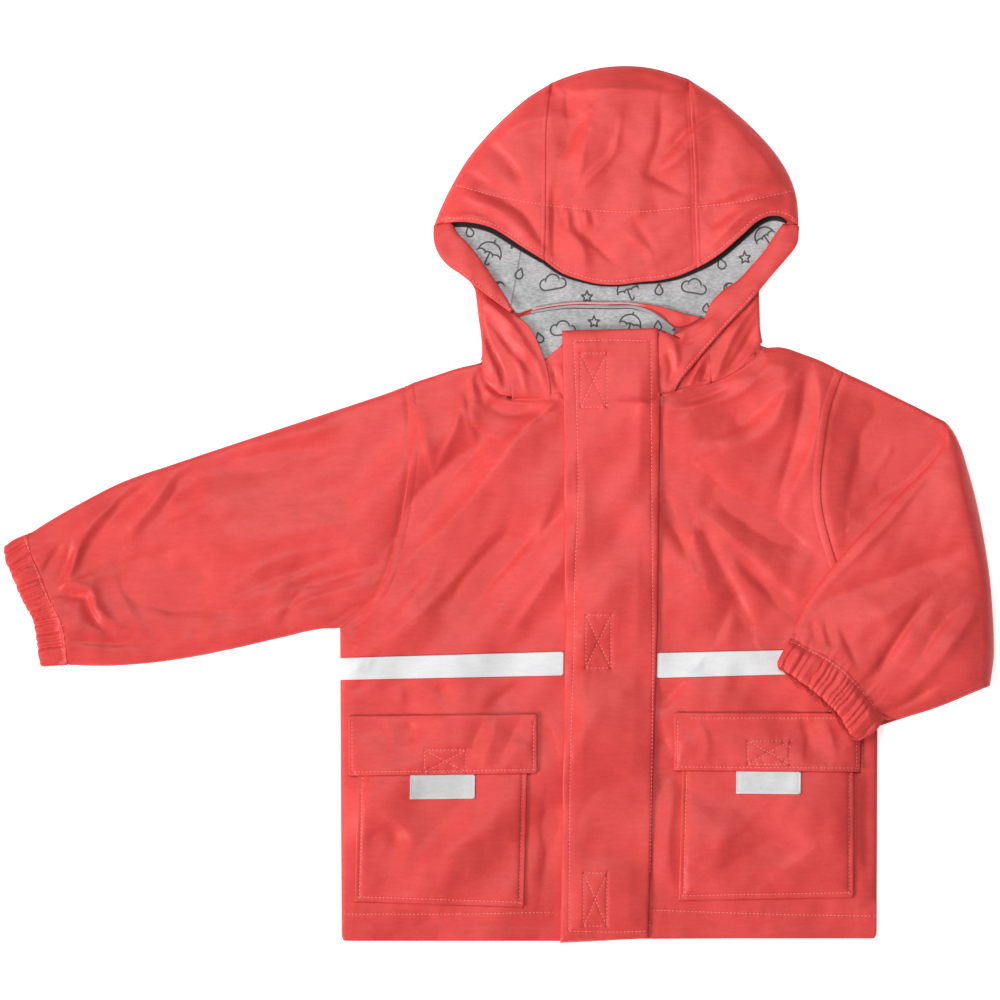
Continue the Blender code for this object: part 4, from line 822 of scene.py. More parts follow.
POCKET_FOLDS = (
    (-0.8, 4.0, -102.2, 65.1, -77.7, 67.2, -62.3, 60.2),
    (1.1, 6.0, -159.6, 89.6, -140, 71.4, -154.7, 44.8),
    (-1.0, 6.0, -176.4, 68.6, -154, 75.6, -149.8, 58.8),
    (0.8, 8.0, -135.1, 47.6, -99.4, 72.8, -70, 79.8),
    (-0.5, 7.0, -145.6, 35, -106.4, 47.6, -67.2, 47.6),
    (-0.9, 8.0, 70, 43.4, 98, 63, 117.6, 71.4),
    (1.1, 9.0, 70, 63, 102.9, 89.6),
    (1.2, 7.0, 110.6, 42, 145.6, 65.8),
)

# Stitch lines that follow an outline anticlockwise, this far inside it
EDGE_STITCHES = (  # node, inset, from x, from y, to x, to y
    ("flap_right", 2.6, -184.1, 152.6, -50.4, 152.6),
    ("flap_left", 2.6, 44.1, 154, 175, 154),
    ("pocket_right", 3.4, -182, 116.9, -57.4, 116.9),
    ("pocket_left", 3.4, 54.6, 116.9, 173.6, 116.9),
    ("rim_right", 2.1, -109.9, 474.6, -46.9, 416.5),
    ("rim_left", 2.1, 46.9, 385, 101.5, 452.9),
    ("hood_side_right", 2.8, -119.7, 501.2, -48.3, 476.7),
    ("hood_centre", 2.8, -45.5, 474.6, 58.1, 470.4),
    ("hood_side_left", 2.8, 60.9, 471.1, 128.8, 499.8),
)
PRESSED_LINES = (  # the same, where the thread sinks into the cloth
    ("front_right", 5.6, -143.5, 386.4, -186.2, 224),
    ("front_left", 5.6, 182, 222.6, 161, 394.8),
    ("hood_centre", 3.0, 58.1, 474.6, 52.5, 596.4),
    ("hood_side_left", 3.0, 54.6, 596.4, 59.5, 474.6),
    ("hood_side_right", 3.0, -48.3, 478.8, -42.7, 596.4),
    ("sleeve_left_fore", 3.0, 191.8, 153.3, 263.2, 175.7),
    ("label_right", 1.6, -140, 114.8, -98, 114.8),
    ("label_left", 1.6, 88.9, 119.7, 130.2, 119.7),
)
CROSSED_BOXES = (  # node, left, foot, right, head
    ("placket", -21.7, 373.1, -3.5, 410.9),
    ("placket", -18.2, 190.4, -0.7, 227.5),
    ("placket", -19.6, 9.8, -3.5, 46.9),
    ("flap_right", -131.2, 117.6, -102.2, 133),
    ("flap_left", 95.2, 123.2, 124.6, 139.3),
)
LINE_STITCHES = (  # node, then the points of the line
    ("cuff_right", -411.5, 281, -406.6, 269.1, -402.5, 257.9, -398.9, 247.4, -393.4, 236.2, -389.5, 228.9,
     -387.1, 219.5, -385.8, 209.2, -383.8, 195.3),
    ("cuff_left", 122.1, 209.3, 128.8, 207.2, 135.8, 203.7, 145.6, 198.8, 153.3, 194.2, 158.9, 190.4,
     164.5, 185.1, 170.1, 179.5, 175.7, 173.6, 181.3, 166.6, 185.5, 159.9),
    ("gore_right", -91.7, 444.5, -86.8, 420, -76.3, 400.4, -70.7, 383.6),
    ("placket", -26.6, 419.3, -24.5, 367.5, -23.8, 303.1, -25.9, 255.5, -26.6, 202.3, -28.7, 141.4,
     -30.1, 6.3),
    ("placket", 27.3, 419.3, 28, 303.1, 28.7, 202.3, 25.9, 6.3),
    ("placket", -26.6, 419.3, 0, 420, 27.3, 419.3),
    ("placket", -30.1, 6.3, 0, 5.6, 25.9, 6.3),
    ("front_right", -188.3, 18.2, -107.8, 18.2, -37.8, 19.6),
    ("front_left", 28, 21, 124.6, 17.8, 183.8, 16.8),
    ("hood_side_right", -109.9, 528.5, -78.4, 520.1, -46.9, 514.5),
    ("hood_centre", -46.9, 514.5, 9.1, 509.6, 57.4, 513.1),
    ("hood_side_left", 59.5, 513.1, 96.6, 518, 128.1, 525),
    ("flap_left", 54.6, 155.4, 177.1, 155.4),
)


def followed(outline, inset, x0, y0, x1, y1):
    """The part of an outline between two places, anticlockwise, moved in."""
    _, index = nearest([(x0, y0), (x1, y1)], outline)
    count = (index[1] - index[0]) % len(outline)
    order = (index[0] + np.arange(count + 1)) % len(outline)
    return (outline + inset * normals_of(outline))[order]


def stitch_lines(node, outline):
    """The lines sewn on a piece."""
    lines = [followed(outline, *row[1:]) for row in EDGE_STITCHES if row[0] == node]
    lines += [curve(row[1:]) for row in LINE_STITCHES if row[0] == node]
    for piece, left, foot, right, head in CROSSED_BOXES:
        if piece == node:
            a, b, c, d = (left, foot), (right, foot), (right, head), (left, head)
            lines += [np.array(pair, float) for pair in ((a, b), (b, c), (c, d), (d, a), (a, c), (b, d))]
    return lines


def pressed_lines(node, outline):
    """The seams pressed into a piece."""
    return [followed(outline, *row[1:]) for row in PRESSED_LINES if row[0] == node]


def grooves(plan, lines, depth=GROOVE_DEPTH, pucker=PUCKER):
    """How far stitch lines press the cloth in, with small puckers beside them."""
    pressed = np.zeros(len(plan))
    for line in lines:
        line = spread(line, 1.0)
        distance, index = nearest(plan, line)
        ripple = np.sin(index / 1.15 + 2.0 * np.sin(index / 7.3)) * (0.5 + 0.5 * np.sin(index / 11.0 + 1))
        pressed -= depth * np.exp(-((distance / GROOVE_WIDTH) ** 2))
        pressed += pucker * ripple * np.exp(-((distance / 3.6) ** 2))
    return pressed


HEM_TOP, HEM_END = 30, 186  # the back's edge lower than this and between these is the hem
NECK_SIDES, NECK_FOOT = (-91, 106), 380  # and between these and above this the neck
ELBOW_LEFT, ELBOW_SPAN = 232, (178, 361)  # the upper sleeve's edge past this is the elbow's fold


def free_edge():
    """The edges of the body and the sleeves where the upper cloth comes down to the floor."""
    nodes = ("back", "sleeve_right", "sleeve_left_upper", "cuff_right")
    lines = {node: guide_of(node) for node in nodes}
    kept = []
    for node in nodes[:3]:
        line = lines[node]
        others = np.concatenate([lines[other] for other in nodes if other != node])
        free = nearest(line, others)[0] > 3.2
        x, y = line.T
        if node == "back":
            free &= (y > HEM_TOP) | (np.abs(x) > HEM_END)
            free &= ~((x > NECK_SIDES[0]) & (x < NECK_SIDES[1]) & (y > NECK_FOOT))
        if node == "sleeve_left_upper":
            free &= ~((x > ELBOW_LEFT) & (y > ELBOW_SPAN[0]) & (y < ELBOW_SPAN[1]))
        kept.append(line[free])
    return np.concatenate(kept)


FREE_EDGE = free_edge()
ARMHOLES = guide_of("back")
CROWN_FOOT = 492
HOOD_EDGE = guide_of("hood_back")
HOOD_EDGE = HOOD_EDGE[HOOD_EDGE[:, 1] > CROWN_FOOT]
SIDE_EDGES = guide_of("hood_side_right", "hood_side_left")
HOOD_EDGE = np.concatenate([HOOD_EDGE, SIDE_EDGES[nearest(SIDE_EDGES, HOOD_EDGE)[0] < 5.0]])
SILHOUETTE = np.concatenate([FREE_EDGE, HOOD_EDGE])
UPPER, LOWER = 1.05, -0.1  # how far down its cloth the edge of an upper and of a lower piece is
MEETING = {
    "front_right": UPPER, "front_left": UPPER, "hood_side_right": UPPER, "hood_centre": UPPER,
    "hood_side_left": UPPER, "back": LOWER, "hood_back": LOWER,
}


def laid_height(plan):
    """Height of the upper cloth of the body and the sleeves."""
    distance = distance_to(plan, FREE_EDGE)
    hem = HEM_SHARE + (1 - HEM_SHARE) * rounded(plan[:, 1] - 12, HEM_ROUND)
    fade = np.clip(distance / 12, 0, 1)
    uneven = 1.3 * waves(plan, 95, seed=3) + 0.14 * waves(plan, 17, seed=4)
    x = plan[:, 0]
    left, arm = np.clip((x + 20) / 40, 0, 1), np.clip((-178 - x) / 25, 0, 1)
    right = (1 - left) * (1 - arm)
    for share, turn, length, seed in ((right, 52, 46, 21), (left, -42, 46, 22), (arm, 14, 40, 23)):
        uneven += RIDGES * share * drawn(plan, turn, length, seed=seed)
    lift = BODY_LIFT * rounded(distance, BODY_ROUND) * hem
    uneven += folds(plan, BODY_FOLDS) + folds(plan, SLEEVE_FOLDS) + folds(plan, ARMHOLE_FOLDS)
    return np.maximum(PAIR + lift + uneven * fade * np.sqrt(hem), PAIR)


def crown_height(plan):
    """Height of the upper cloth of the hood."""
    distance = distance_to(plan, HOOD_EDGE)
    fade = np.clip(distance / 8, 0, 1)
    uneven = 0.4 * waves(plan, 60, seed=5) + 0.12 * waves(plan, 15, seed=6)
    uneven += 0.5 * drawn(plan, 80, 36, seed=24)
    return PAIR + CROWN_LIFT * rounded(distance, CROWN_ROUND) + (folds(plan, HOOD_FOLDS) + uneven) * fade


LEAST_WIDTH, LEAST_SHARE = 0.0101, 0.302  # of a cut, in metres and of its rectangle


def cut_of(outline, layers=1, long_tube=False):
    """Width, length and area of the smallest rectangle of cloth that an outline is cut from.
    A tube's rectangle is as wide again across the arm, which is its long side but on a long tube."""
    best = None
    for turn in np.radians(np.arange(0, 90, 3)):
        c, s = math.cos(turn), math.sin(turn)
        size = np.ptp(outline @ np.array([[c, -s], [s, c]]), axis=0)
        if best is None or size.prod() < best.prod():
            best = size
    best[int((best[1] > best[0]) != long_tube)] *= layers
    return (best[0] / 1000, best[1] / 1000), area_of(outline) * layers / 1e6


def declare(piece, node, outline, layers=1):
    """A piece's body and hidden node, and the flat cloth it is cut from, worked out and not kept. A long
    strip counts as straight.
    """
    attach(piece, "root")
    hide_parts(node)
    flat, area = cut_of(outline, layers, node == "sleeve_right")
    if area < 0.32 * flat[0] * flat[1]:
        half = (np.linalg.norm(np.roll(outline, -1, axis=0) - outline, axis=1).sum()) / 2000
        length = (half + math.sqrt(max(half**2 - 4 * area, 0))) / 2
        flat = (max(area / length, LEAST_WIDTH), length)
        area = max(area, LEAST_SHARE * flat[0] * flat[1])


def cloth(node, height, rests_on, thickness=CLOTH, finish=RED, name=None,
          roll=0.9, drop=0.5, ink_lines=(), spacing=SPACING):
    """A wall of cloth with a rolled edge. The height is given for each point, and the wall is under it."""
    name = name or node + "_cloth"
    outline = sewn(node)
    lines = stitch_lines(node, outline)
    pressed = pressed_lines(node, outline)
    plan, faces, edge = filled(outline, lines + pressed, ink_lines, spacing)
    inside = distance_to(plan, outline) * ~edge
    top = height(plan, faces, inside)
    bevel = thickness * (1 - rounded(inside, roll))
    if node in MEETING:
        drop = drop + (MEETING[node] - drop) * np.clip(2 - nearest(plan, SILHOUETTE)[0] / 1.2, 0, 1)
    low = np.maximum(top - thickness, 0) + (1 - drop) * bevel
    if rests_on == "floor":
        low = low + np.clip(folds(plan, UNDER_FOLDS), 0, 0.8) * np.clip(inside / 9, 0, 1)
        low -= grooves(plan, [curve(row[1:]) for row in UNDER_SEAMS if row[0] == node], 0.5, 0)
    top = top - drop * bevel + (grooves(plan, lines) + grooves(plan, pressed, 0.26, 0.0)) * ~edge
    low = np.where(edge, top, np.minimum(low, top - 0.02))
    piece = sheet_of(name, plan, faces, edge, top, low, finish)
    declare(piece, node, outline)
    all_stitches.extend((name, line) for line in lines)
    return piece


all_stitches = []
COLLAR = ("gore_right", "rear_right", "gore_left", "rear_left", "chin_right", "rim_left")


def tucked(outline, neighbour, by=TUCK, within=SEAM_NEAR, corners=1.0):
    """An outline moved out under a neighbour's edge where they are sewn. A corner follows its free side."""
    distance, index = nearest(outline, neighbour)
    near = np.clip((within + 0.8 - distance) / 0.8, 0, 1)
    towards = neighbour[index] - outline
    towards /= np.maximum(np.linalg.norm(towards, axis=1), 1e-6)[:, None]
    before, after = outline - np.roll(outline, 1, axis=0), np.roll(outline, -1, axis=0) - outline
    unit = [step / np.maximum(np.linalg.norm(step, axis=1), 1e-6)[:, None] for step in (before, after)]
    out = [np.column_stack([step[:, 1], -step[:, 0]]) for step in unit]
    facing = [(way * towards).sum(axis=1) for way in out]
    first = (facing[0] > facing[1])[:, None]
    way = np.where(first, out[0], out[1])
    corner = np.abs(facing[0] - facing[1]) > 0.35
    on = np.where(first, -unit[1], unit[0])
    way[corner] = on[corner]
    near *= np.clip((np.maximum(*facing) - 0.45) / 0.3, 0, 1)
    near[corner] *= corners
    return outline + way * (by * near)[:, None]


JOINS = (  # node, how far it goes under the pieces it is sewn to, and these
    ("front_right", 5.0, *COLLAR),
    ("front_left", 5.0, *COLLAR),
    ("back", 0.5, "hood_back"),
    ("hood_back", 0.5, "back"),
    ("rear_right", 1.4, "gore_right"),
    ("rear_right", 2.5, "rim_right"),
    ("gore_right", 0.0, "chin_right"),
    ("gore_right", 2.5, "rim_right"),
    ("chin_right", 1.4, "gore_right"),
    ("chin_right", 3.0, "placket"),
    ("rear_left", 1.4, "gore_left"),
    ("rear_left", 2.5, "rim_left"),
    ("gore_left", 2.5, "rim_left"),
    ("gore_left", 3.0, "placket"),
    ("rim_right", 2.0, "hood_side_right"),
    ("rim_left", 2.0, "hood_side_left"),
    ("rim_left", 3.0, "placket"),
    ("hood_centre", 1.2, "hood_side_right", "hood_side_left"),
)
ROUNDED = (  # node, corner x, corner y, how far from the corner the cut is rounded
    ("hood_back", 106, 417, 4.5),
    ("rim_left", 50.4, 420, 8.0),
    ("front_right", -189.3, 0.7, 4.0),
    ("front_left", 185.1, 2.1, 4.0),
    ("back", -189.3, 0.7, 4.0),
    ("back", 185.1, 2.1, 4.0),
    ("front_right", -144.2, 388.5, 2.4),
    ("back", -144.2, 388.5, 2.4),
    ("flap_left", 44.1, 121.8, 1.6),
    ("flap_left", 172.9, 117.6, 2.0),
    ("flap_right", -184.8, 114.8, 1.6),
    ("flap_right", -51.8, 116.9, 1.6),
)
EASED = (  # node, x, y, how far the cloth there is pulled across and up, and the reach of that
    ("cuff_left", 163.8, 186.9, 2.9, 3.0, 18.0),
    ("cuff_left", 182.7, 146.3, 2.3, -2.6, 8.0),
    ("cuff_left", 186.2, 154, 2.4, 0.6, 7.0),
    ("cuff_right", -418.6, 277.9, -1.1, 1.6, 9.0),
    ("sleeve_left_upper", 191.1, 153.3, -3.6, -1.4, 7.0),
    ("sleeve_left_upper", 233.4, 360.8, 1.0, 0.8, 3.5),
    ("front_right", -143.5, 388.5, 0.1, -0.6, 3.5),
    ("back", -143.5, 388.5, 0.1, -0.6, 3.5),
    ("sleeve_right", -147.7, 385.7, 0.0, 0.4, 6.0),
    ("gore_right", -72.1, 380.8, 0.8, -1.6, 3.0),
)


def eased(node, line):
    """A line on a piece, with the cloth pulled out of shape here and there."""
    moved = line.copy()
    for name, x, y, across, up, reach in EASED:
        if name == node:
            share = np.exp(-(((line - (x, y)) ** 2).sum(axis=1)) / reach**2)
            moved += share[:, None] * (across, up)
    return moved


def sewn(node):
    """A node's outline, taken on under the pieces that it is sewn to."""
    outline = outline_of(node)
    for name, by, *others in JOINS:
        if name == node:
            outline = tucked(outline, guide_of(*others, spacing=0.5), by, max(SEAM_NEAR, 1.4 * by))
    for name, x, y, reach in ROUNDED:
        if name == node:
            outline = rounded_corners(outline, ((x, y),), reach)
    return eased(node, outline)


def seam_dip(plan, neighbour, depth=1.1, width=2.6):
    """How far cloth goes down towards an edge that it is sewn under."""
    return -depth * np.exp(-((distance_to(plan, neighbour) / width) ** 2))


def seam_ridge(plan, neighbour, height=0.5, centre=3.4, width=2.4):
    """The layers of a seam, pressed to this side and sewn down."""
    return height * np.exp(-(((distance_to(plan, neighbour) - centre) / width) ** 2))


ARM_SEAMS = guide_of("sleeve_right", "sleeve_left_upper")
ARM_SEAMS = ARM_SEAMS[nearest(ARM_SEAMS, ARMHOLES)[0] < SEAM_NEAR]


UNDER_FOLDS = (  # creases pressed into the side that lies on the floor
    (0.34, 7.0, -134.4, 329, -99.4, 266, -64.4, 210),
    (0.30, 9.0, -36.4, 357, -8.4, 280, -15.4, 196),
    (0.34, 6.0, 131.6, 343, 96.6, 280, 61.6, 231),
    (0.28, 8.0, -148.4, 126, -64.4, 140, 19.6, 119),
    (0.30, 7.0, 145.6, 154, 103.6, 98, 61.6, 56),
    (0.30, 6.0, -134.4, 56, -78.4, 77, -36.4, 98),
    (0.28, 8.0, 19.6, 322, 54.6, 294, 117.6, 294),
    (0.32, 5.0, -64.4, 553, -36.4, 504, -29.4, 448),
    (0.30, 6.0, 61.6, 560, 47.6, 504, 54.6, 441),
    (0.28, 7.0, -8.4, 581, 12.6, 518, 5.6, 462),
)
UNDER_SEAMS = (  # node, then the line that is pressed in from below
    ("back", -188.3, 18.2, -1.4, 19.6, 184.1, 16.8),
    ("hood_back", -42.7, 593.6, -46.9, 518, -51.8, 427),
    ("hood_back", 53.2, 593.6, 59.5, 518, 64.4, 427),
)


def build_body():
    def flat(plan, faces, inside):
        return np.full(len(plan), CLOTH)

    def front(plan, faces, inside):
        neck = guide_of(*COLLAR)
        collar_seam = seam_dip(plan, neck, 0.6, 2.2) + seam_ridge(plan, neck, 0.5, 3.2, 2.0)
        return laid_height(plan) + seam_ridge(plan, ARM_SEAMS, 0.22) + collar_seam

    for node in ("back", "hood_back"):
        cloth(node, flat, "floor", spacing=UNDER_SPACING)
    for side in ("right", "left"):
        cloth(f"front_{side}", front, "back_cloth", drop=0.3)


def overlay(thickness, under, rounds=3, bulge=None):
    """Height of a piece that lies on others, even where it goes over a step."""
    def height(plan, faces, inside):
        base = height_below(plan, under, PAIR) + GAP + thickness
        raised = settled(base, faces, rounds)
        return raised + (bulge(plan, inside) if bulge else 0)
    return height


def build_overlays():
    for side in ("right", "left"):
        front, pocket = f"front_{side}_cloth", f"pocket_{side}_cloth"

        def crumple(plan, inside):
            return np.maximum(folds(plan, TAPE_FOLDS), -0.22) * np.clip(inside / 2, 0.4, 1)

        def pocket_bulge(plan, inside):
            top = plan[:, 1].max()
            mouth = np.clip((top - plan[:, 1]) / 30, 0, 1)
            rise = 2.4 * rounded(np.clip(inside - 3.4, 0, None), 26.0)
            return rise * (0.6 + 0.4 * mouth) + folds(plan, POCKET_FOLDS) * np.clip((inside - 3) / 8, 0, 1)

        def flap_bulge(plan, inside):
            shape = folds(plan, FLAP_FOLDS) + 0.25 * waves(plan, 24, seed=14)
            return shape * np.clip(inside / 5, 0, 1) + 0.5 * rounded(inside, 5.0)

        cloth(f"tape_{side}", overlay(TAPE_CLOTH, stack(), bulge=crumple), front, TAPE_CLOTH, TAPE,
              f"tape_{side}_strip", roll=0.5)
        cloth(f"pocket_{side}", overlay(CLOTH, stack(), bulge=pocket_bulge), front)
        cloth(f"label_{side}", overlay(LABEL_CLOTH, stack()), pocket, LABEL_CLOTH, SATIN,
              roll=0.4)
        cloth(f"flap_{side}", overlay(CLOTH, stack(), 25, flap_bulge), pocket)


def build_placket():
    under = stack()

    def height(plan, faces, inside):
        own = cad_height("placket", plan)
        base = height_below(plan, under, 0.0) + GAP + PLACKET_CLOTH
        high = plan[:, 1] > 370
        base = np.where(high & (base < own - 1.0), own, base)
        uneven = 1.9 * drawn(plan, 14, 70, seed=12, stretch=2.2) + 0.25 * drawn(plan, 60, 30, seed=25)
        uneven = np.maximum(uneven + 1.7, -0.2) * np.clip(inside / 14, 0, 1)
        return settled(base, faces, 6) + uneven + 0.4 * rounded(inside, 4.0)

    cloth("placket", height, "front_left_cloth", PLACKET_CLOTH, name="storm_flap", roll=1.3)


def build_hood():
    middle = guide_of("hood_centre")

    def side(plan, faces, inside):
        return crown_height(plan) + seam_ridge(plan, middle, 0.2, 2.6, 2.0)

    def centre(plan, faces, inside):
        return crown_height(plan) + seam_dip(plan, SIDE_EDGES, 0.3, 1.3)

    for node, height in (("hood_side_right", side), ("hood_side_left", side), ("hood_centre", centre)):
        cloth(node, height, "hood_back_cloth", drop=0.3)


def motif(kind, size):
    """One line drawing of the lining's print, as lines round its own middle."""
    turn = np.linspace(0, 2 * math.pi, 25)
    round_line = np.column_stack([np.cos(turn), np.sin(turn)])
    half = turn[:13]
    if kind == "drop":
        pull = np.clip(np.sin(turn), 0, 1) ** 3
        across, up = 0.62 * np.cos(turn) * (1 - 0.75 * pull), 0.62 * np.sin(turn) + 0.55 * pull
        lines = [np.column_stack([across, up])]
    elif kind == "star":
        points = np.linspace(0, 2 * math.pi, 11)
        reach = np.where(np.arange(11) % 2, 0.45, 1.0)[:, None]
        lines = [reach * np.column_stack([np.sin(points), np.cos(points)])]
    elif kind == "cloud":
        bumps = ((-0.55, 0.0, 0.42, 1.7, 4.9), (0.0, 0.2, 0.52, 0.35, 2.9), (0.6, 0.0, 0.36, -1.7, 1.3))
        lines = []
        for x, y, radius, start, end in bumps:
            at = np.linspace(start, end, 14)
            lines.append(np.column_stack([x + radius * np.cos(at), y + radius * np.sin(at)]))
        lines.append(np.array([(-0.5, -0.41), (0.55, -0.36)]))
    elif kind == "moon":
        lines = [round_line[2:20] * 0.8, round_line[4:18] * (0.55, 0.62) + (0.18, 0.05)]
    else:
        dome = np.column_stack([np.cos(half), np.sin(half)])
        lines = [dome, np.array([(0, 1), (0, 1.2)])]
        for x in (-0.67, 0.0, 0.67):
            lines.append(np.column_stack([x + 0.33 * np.cos(half), 0.17 * np.sin(half)]))
        hook = np.column_stack([0.16 + 0.16 * np.cos(half[::-1]), -0.75 - 0.16 * np.sin(half[::-1])])
        lines.append(np.concatenate([[(0, 0.15), (0, -0.75)], hook[1:]]))
    return [line * size for line in lines]


PRINT = (  # piece, drawing, middle x, middle y, size, turn
    ("hood_lining", "umbrella", -86.1, 480.2, 8.5, -25),
    ("hood_lining", "drop", -99.4, 494.9, 4.2, 15),
    ("hood_lining", "star", -68.6, 487.9, 4.4, 10),
    ("hood_lining", "drop", -65.1, 465.5, 4.4, -20),
    ("hood_lining", "moon", -79.1, 457.1, 4.6, 0),
    ("hood_lining", "cloud", -41.3, 459.2, 9.5, 8),
    ("hood_lining", "star", -17.5, 450.1, 4.2, 0),
    ("hood_lining", "umbrella", 11.2, 454.3, 7.5, 20),
    ("hood_lining", "drop", 32.9, 454.3, 4.4, 0),
    ("hood_lining", "cloud", 57.4, 456.4, 9.0, -12),
    ("hood_lining", "drop", 77, 472.5, 4.6, 25),
    ("hood_lining", "star", 93.1, 477.4, 4.4, 5),
    ("hood_lining", "moon", 81.9, 456.4, 4.4, 30),
    ("hood_lining", "umbrella", 107.1, 492.1, 7.0, 35),
    ("hood_lining", "drop", 65.8, 441.7, 3.6, -10),
    ("neck_facing", "cloud", -34.3, 427, 9.0, 0),
    ("neck_facing", "drop", -50.4, 420.7, 4.2, 20),
    ("neck_facing", "star", -12.6, 432.6, 4.2, 0),
    ("neck_facing", "umbrella", 12.6, 430.5, 7.5, -15),
    ("neck_facing", "drop", 32.2, 429.1, 4.0, 0),
)
LINING_SEAM = np.array([(-63.7, 483), (-70.7, 443.8)])


def print_lines(node):
    """The lines printed on a piece of lining."""
    placed = []
    for piece, kind, x, y, size, turn in PRINT:
        if piece != node:
            continue
        c, s = math.cos(math.radians(turn)), math.sin(math.radians(turn))
        placed += [line @ np.array([[c, s], [-s, c]]) + (x, y) for line in motif(kind, size)]
    return placed


def build_lining():
    """The jersey in the hood and the neck, with its print, its side seam as a line of painted shade, and the
    brim's shadow painted on inside the brim's edge.
    """
    def laid(plan, faces, inside):
        return PAIR + 0.35 * waves(plan, 26, seed=8) * np.clip(inside / 6, 0, 1)

    brim = [row for row in EDGE_STITCHES if row[0].startswith("hood")]
    brim = np.concatenate([followed(outline_of(row[0], 0.6), 0.0, *row[2:]) for row in brim])
    for node in ("hood_lining", "neck_facing"):
        drawing = print_lines(node)
        seams = [LINING_SEAM] if node == "hood_lining" else []
        piece = cloth(node, laid, "hood_back_cloth", finish=JERSEY,
                      ink_lines=drawing + seams)
        points = plan_of(piece)
        # The side seam is painted as a dark line, for the shade along the seam's overlap; the other lines
        # are the print.
        print_and_seam_shade = 0.7 * np.clip((0.6 - nearest(points, spread(LINING_SEAM, 0.3))[0]) / 0.3, 0, 1)
        for line in drawing:
            print_and_seam_shade = np.maximum(print_and_seam_shade, np.clip((0.72 - nearest(points, spread(line, 0.2))[0]) / 0.3, 0, 1))
        paint(piece, "print_and_seam_shade", print_and_seam_shade)
        # Painted shadow of the brim: dark within this width of the brim's edge, wider at the sides where the
        # brim stands higher.
        band = BRIM_SHADOW_MIDDLE + (BRIM_SHADOW_SIDE - BRIM_SHADOW_MIDDLE) * np.clip(np.abs(points[:, 0]) / 75, 0, 1) ** 1.5
        paint(piece, "band", band - nearest(points, brim)[0])


STRIPS = (  # node, thickness, finish, slot
    ("gore_right", CLOTH, RED, "coated_cloth"),
    ("rear_right", CLOTH, RED, "coated_cloth"),
    ("gore_left", CLOTH, RED, "coated_cloth"),
    ("rear_left", CLOTH, RED, "coated_cloth"),
    ("chin_right", CLOTH, RED, "coated_cloth"),
    ("neck_piping", CLOTH, PIPING, "coated_cloth"),
    ("neck_tape", TAPE_CLOTH, GREY_TAPE, "neck_tape"),
    ("rim_right", CLOTH, RED, "coated_cloth"),
    ("rim_left", CLOTH, RED, "coated_cloth"),
)
GORE_CORNER = (-71.4, 380.8)  # where three pieces meet and none is pressed under the front
PALE_END = 24  # the lining's edge covers the piping as far as this


def build_strips():
    """The narrow pieces round the neck and the face opening, on the heights of their nodes."""
    fronts = stack(["front_right_cloth", "front_left_cloth"])
    neck = guide_of("front_right", "front_left")
    rims = guide_of("rim_right", "rim_left")
    for node, thickness, finish, slot in STRIPS:
        def height(plan, faces, inside):
            fade = np.clip(inside / 3, 0, 1)
            uneven = 0.3 * waves(plan, 20, seed=len(node)) * fade
            calm = settled(cad_height(node, plan), faces, 5, floor=False)
            if node.startswith("rim"):
                return calm + uneven + RIM_ROLL * rounded(inside, 6.5) + folds(plan, RIM_FOLDS) * fade
            if node.startswith("neck"):
                return calm + uneven
            risen = calm + uneven + folds(plan, NECK_FOLDS) * fade + seam_dip(plan, rims, 1.4, 2.4)
            front = height_below(plan, fronts, -1.0)
            share = np.exp(-((distance_to(plan, neck) / 1.7) ** 2)) * (front > 0)
            share *= np.clip(np.linalg.norm(plan - GORE_CORNER, axis=1) / 6, 0, 1)
            return risen + np.minimum(front - 0.5 - risen, 0) * share

        piece = cloth(node, height, "front_right_cloth", thickness, finish, drop=0.3)
        if node == "neck_piping":
            paint(piece, "pale", np.clip((PALE_END - plan_of(piece)[:, 0]) / 8, 0, 1))


def build_tube(node, outline, top_of, low_of, neighbours, extra_mouth=None,
               fullness=1.0, spacing=SPACING, lip=None):
    """A flat tube of cloth with round folded sides, open where a neighbour is sewn on."""
    name = node + "_cloth"
    lines = stitch_lines(node, outline)
    pressed = pressed_lines(node, outline)
    plan, faces, edge = filled(outline, lines + pressed, spacing=spacing)
    inside = distance_to(plan, outline) * ~edge
    mouth = edge & (nearest(plan, neighbours)[0] < SEAM_NEAR + 0.6)
    if extra_mouth:
        mouth |= edge & extra_mouth(plan)
    low = low_of(plan, faces, inside)
    top = top_of(plan, faces, inside, low)
    side = plan[edge & ~mouth]
    from_side = nearest(plan, side)[0]
    round_off = (1 - rounded(from_side, 2.4)) * np.minimum((top - low) / 2, PAIR / 2)
    top = top - round_off + (grooves(plan, lines) + grooves(plan, pressed, 0.5, 0.0)) * ~edge
    low = low + round_off
    out, curl = lip(plan, outline) if lip else (0.0, 0.0)
    piece = tube_of(name, plan, faces, edge, mouth, top, low, RED, out, curl)
    declare(piece, node, outline, layers=2 * fullness)
    all_stitches.extend((name, line) for line in lines)


def into_cuff(node, plan, inside, seam):
    """The gathers that run from a cuff into its sleeve, and the sleeve's edge going down under the cuff."""
    distance = nearest(plan, seam)[0]
    gathers = GATHER_HEIGHT * (cuff_wave(node, plan) - 0.5) * np.exp(-((distance / GATHER_REACH) ** 1.3))
    return gathers - 1.5 * np.clip(1 - inside / CUFF_TUCK, 0, 1) * (distance < 4)


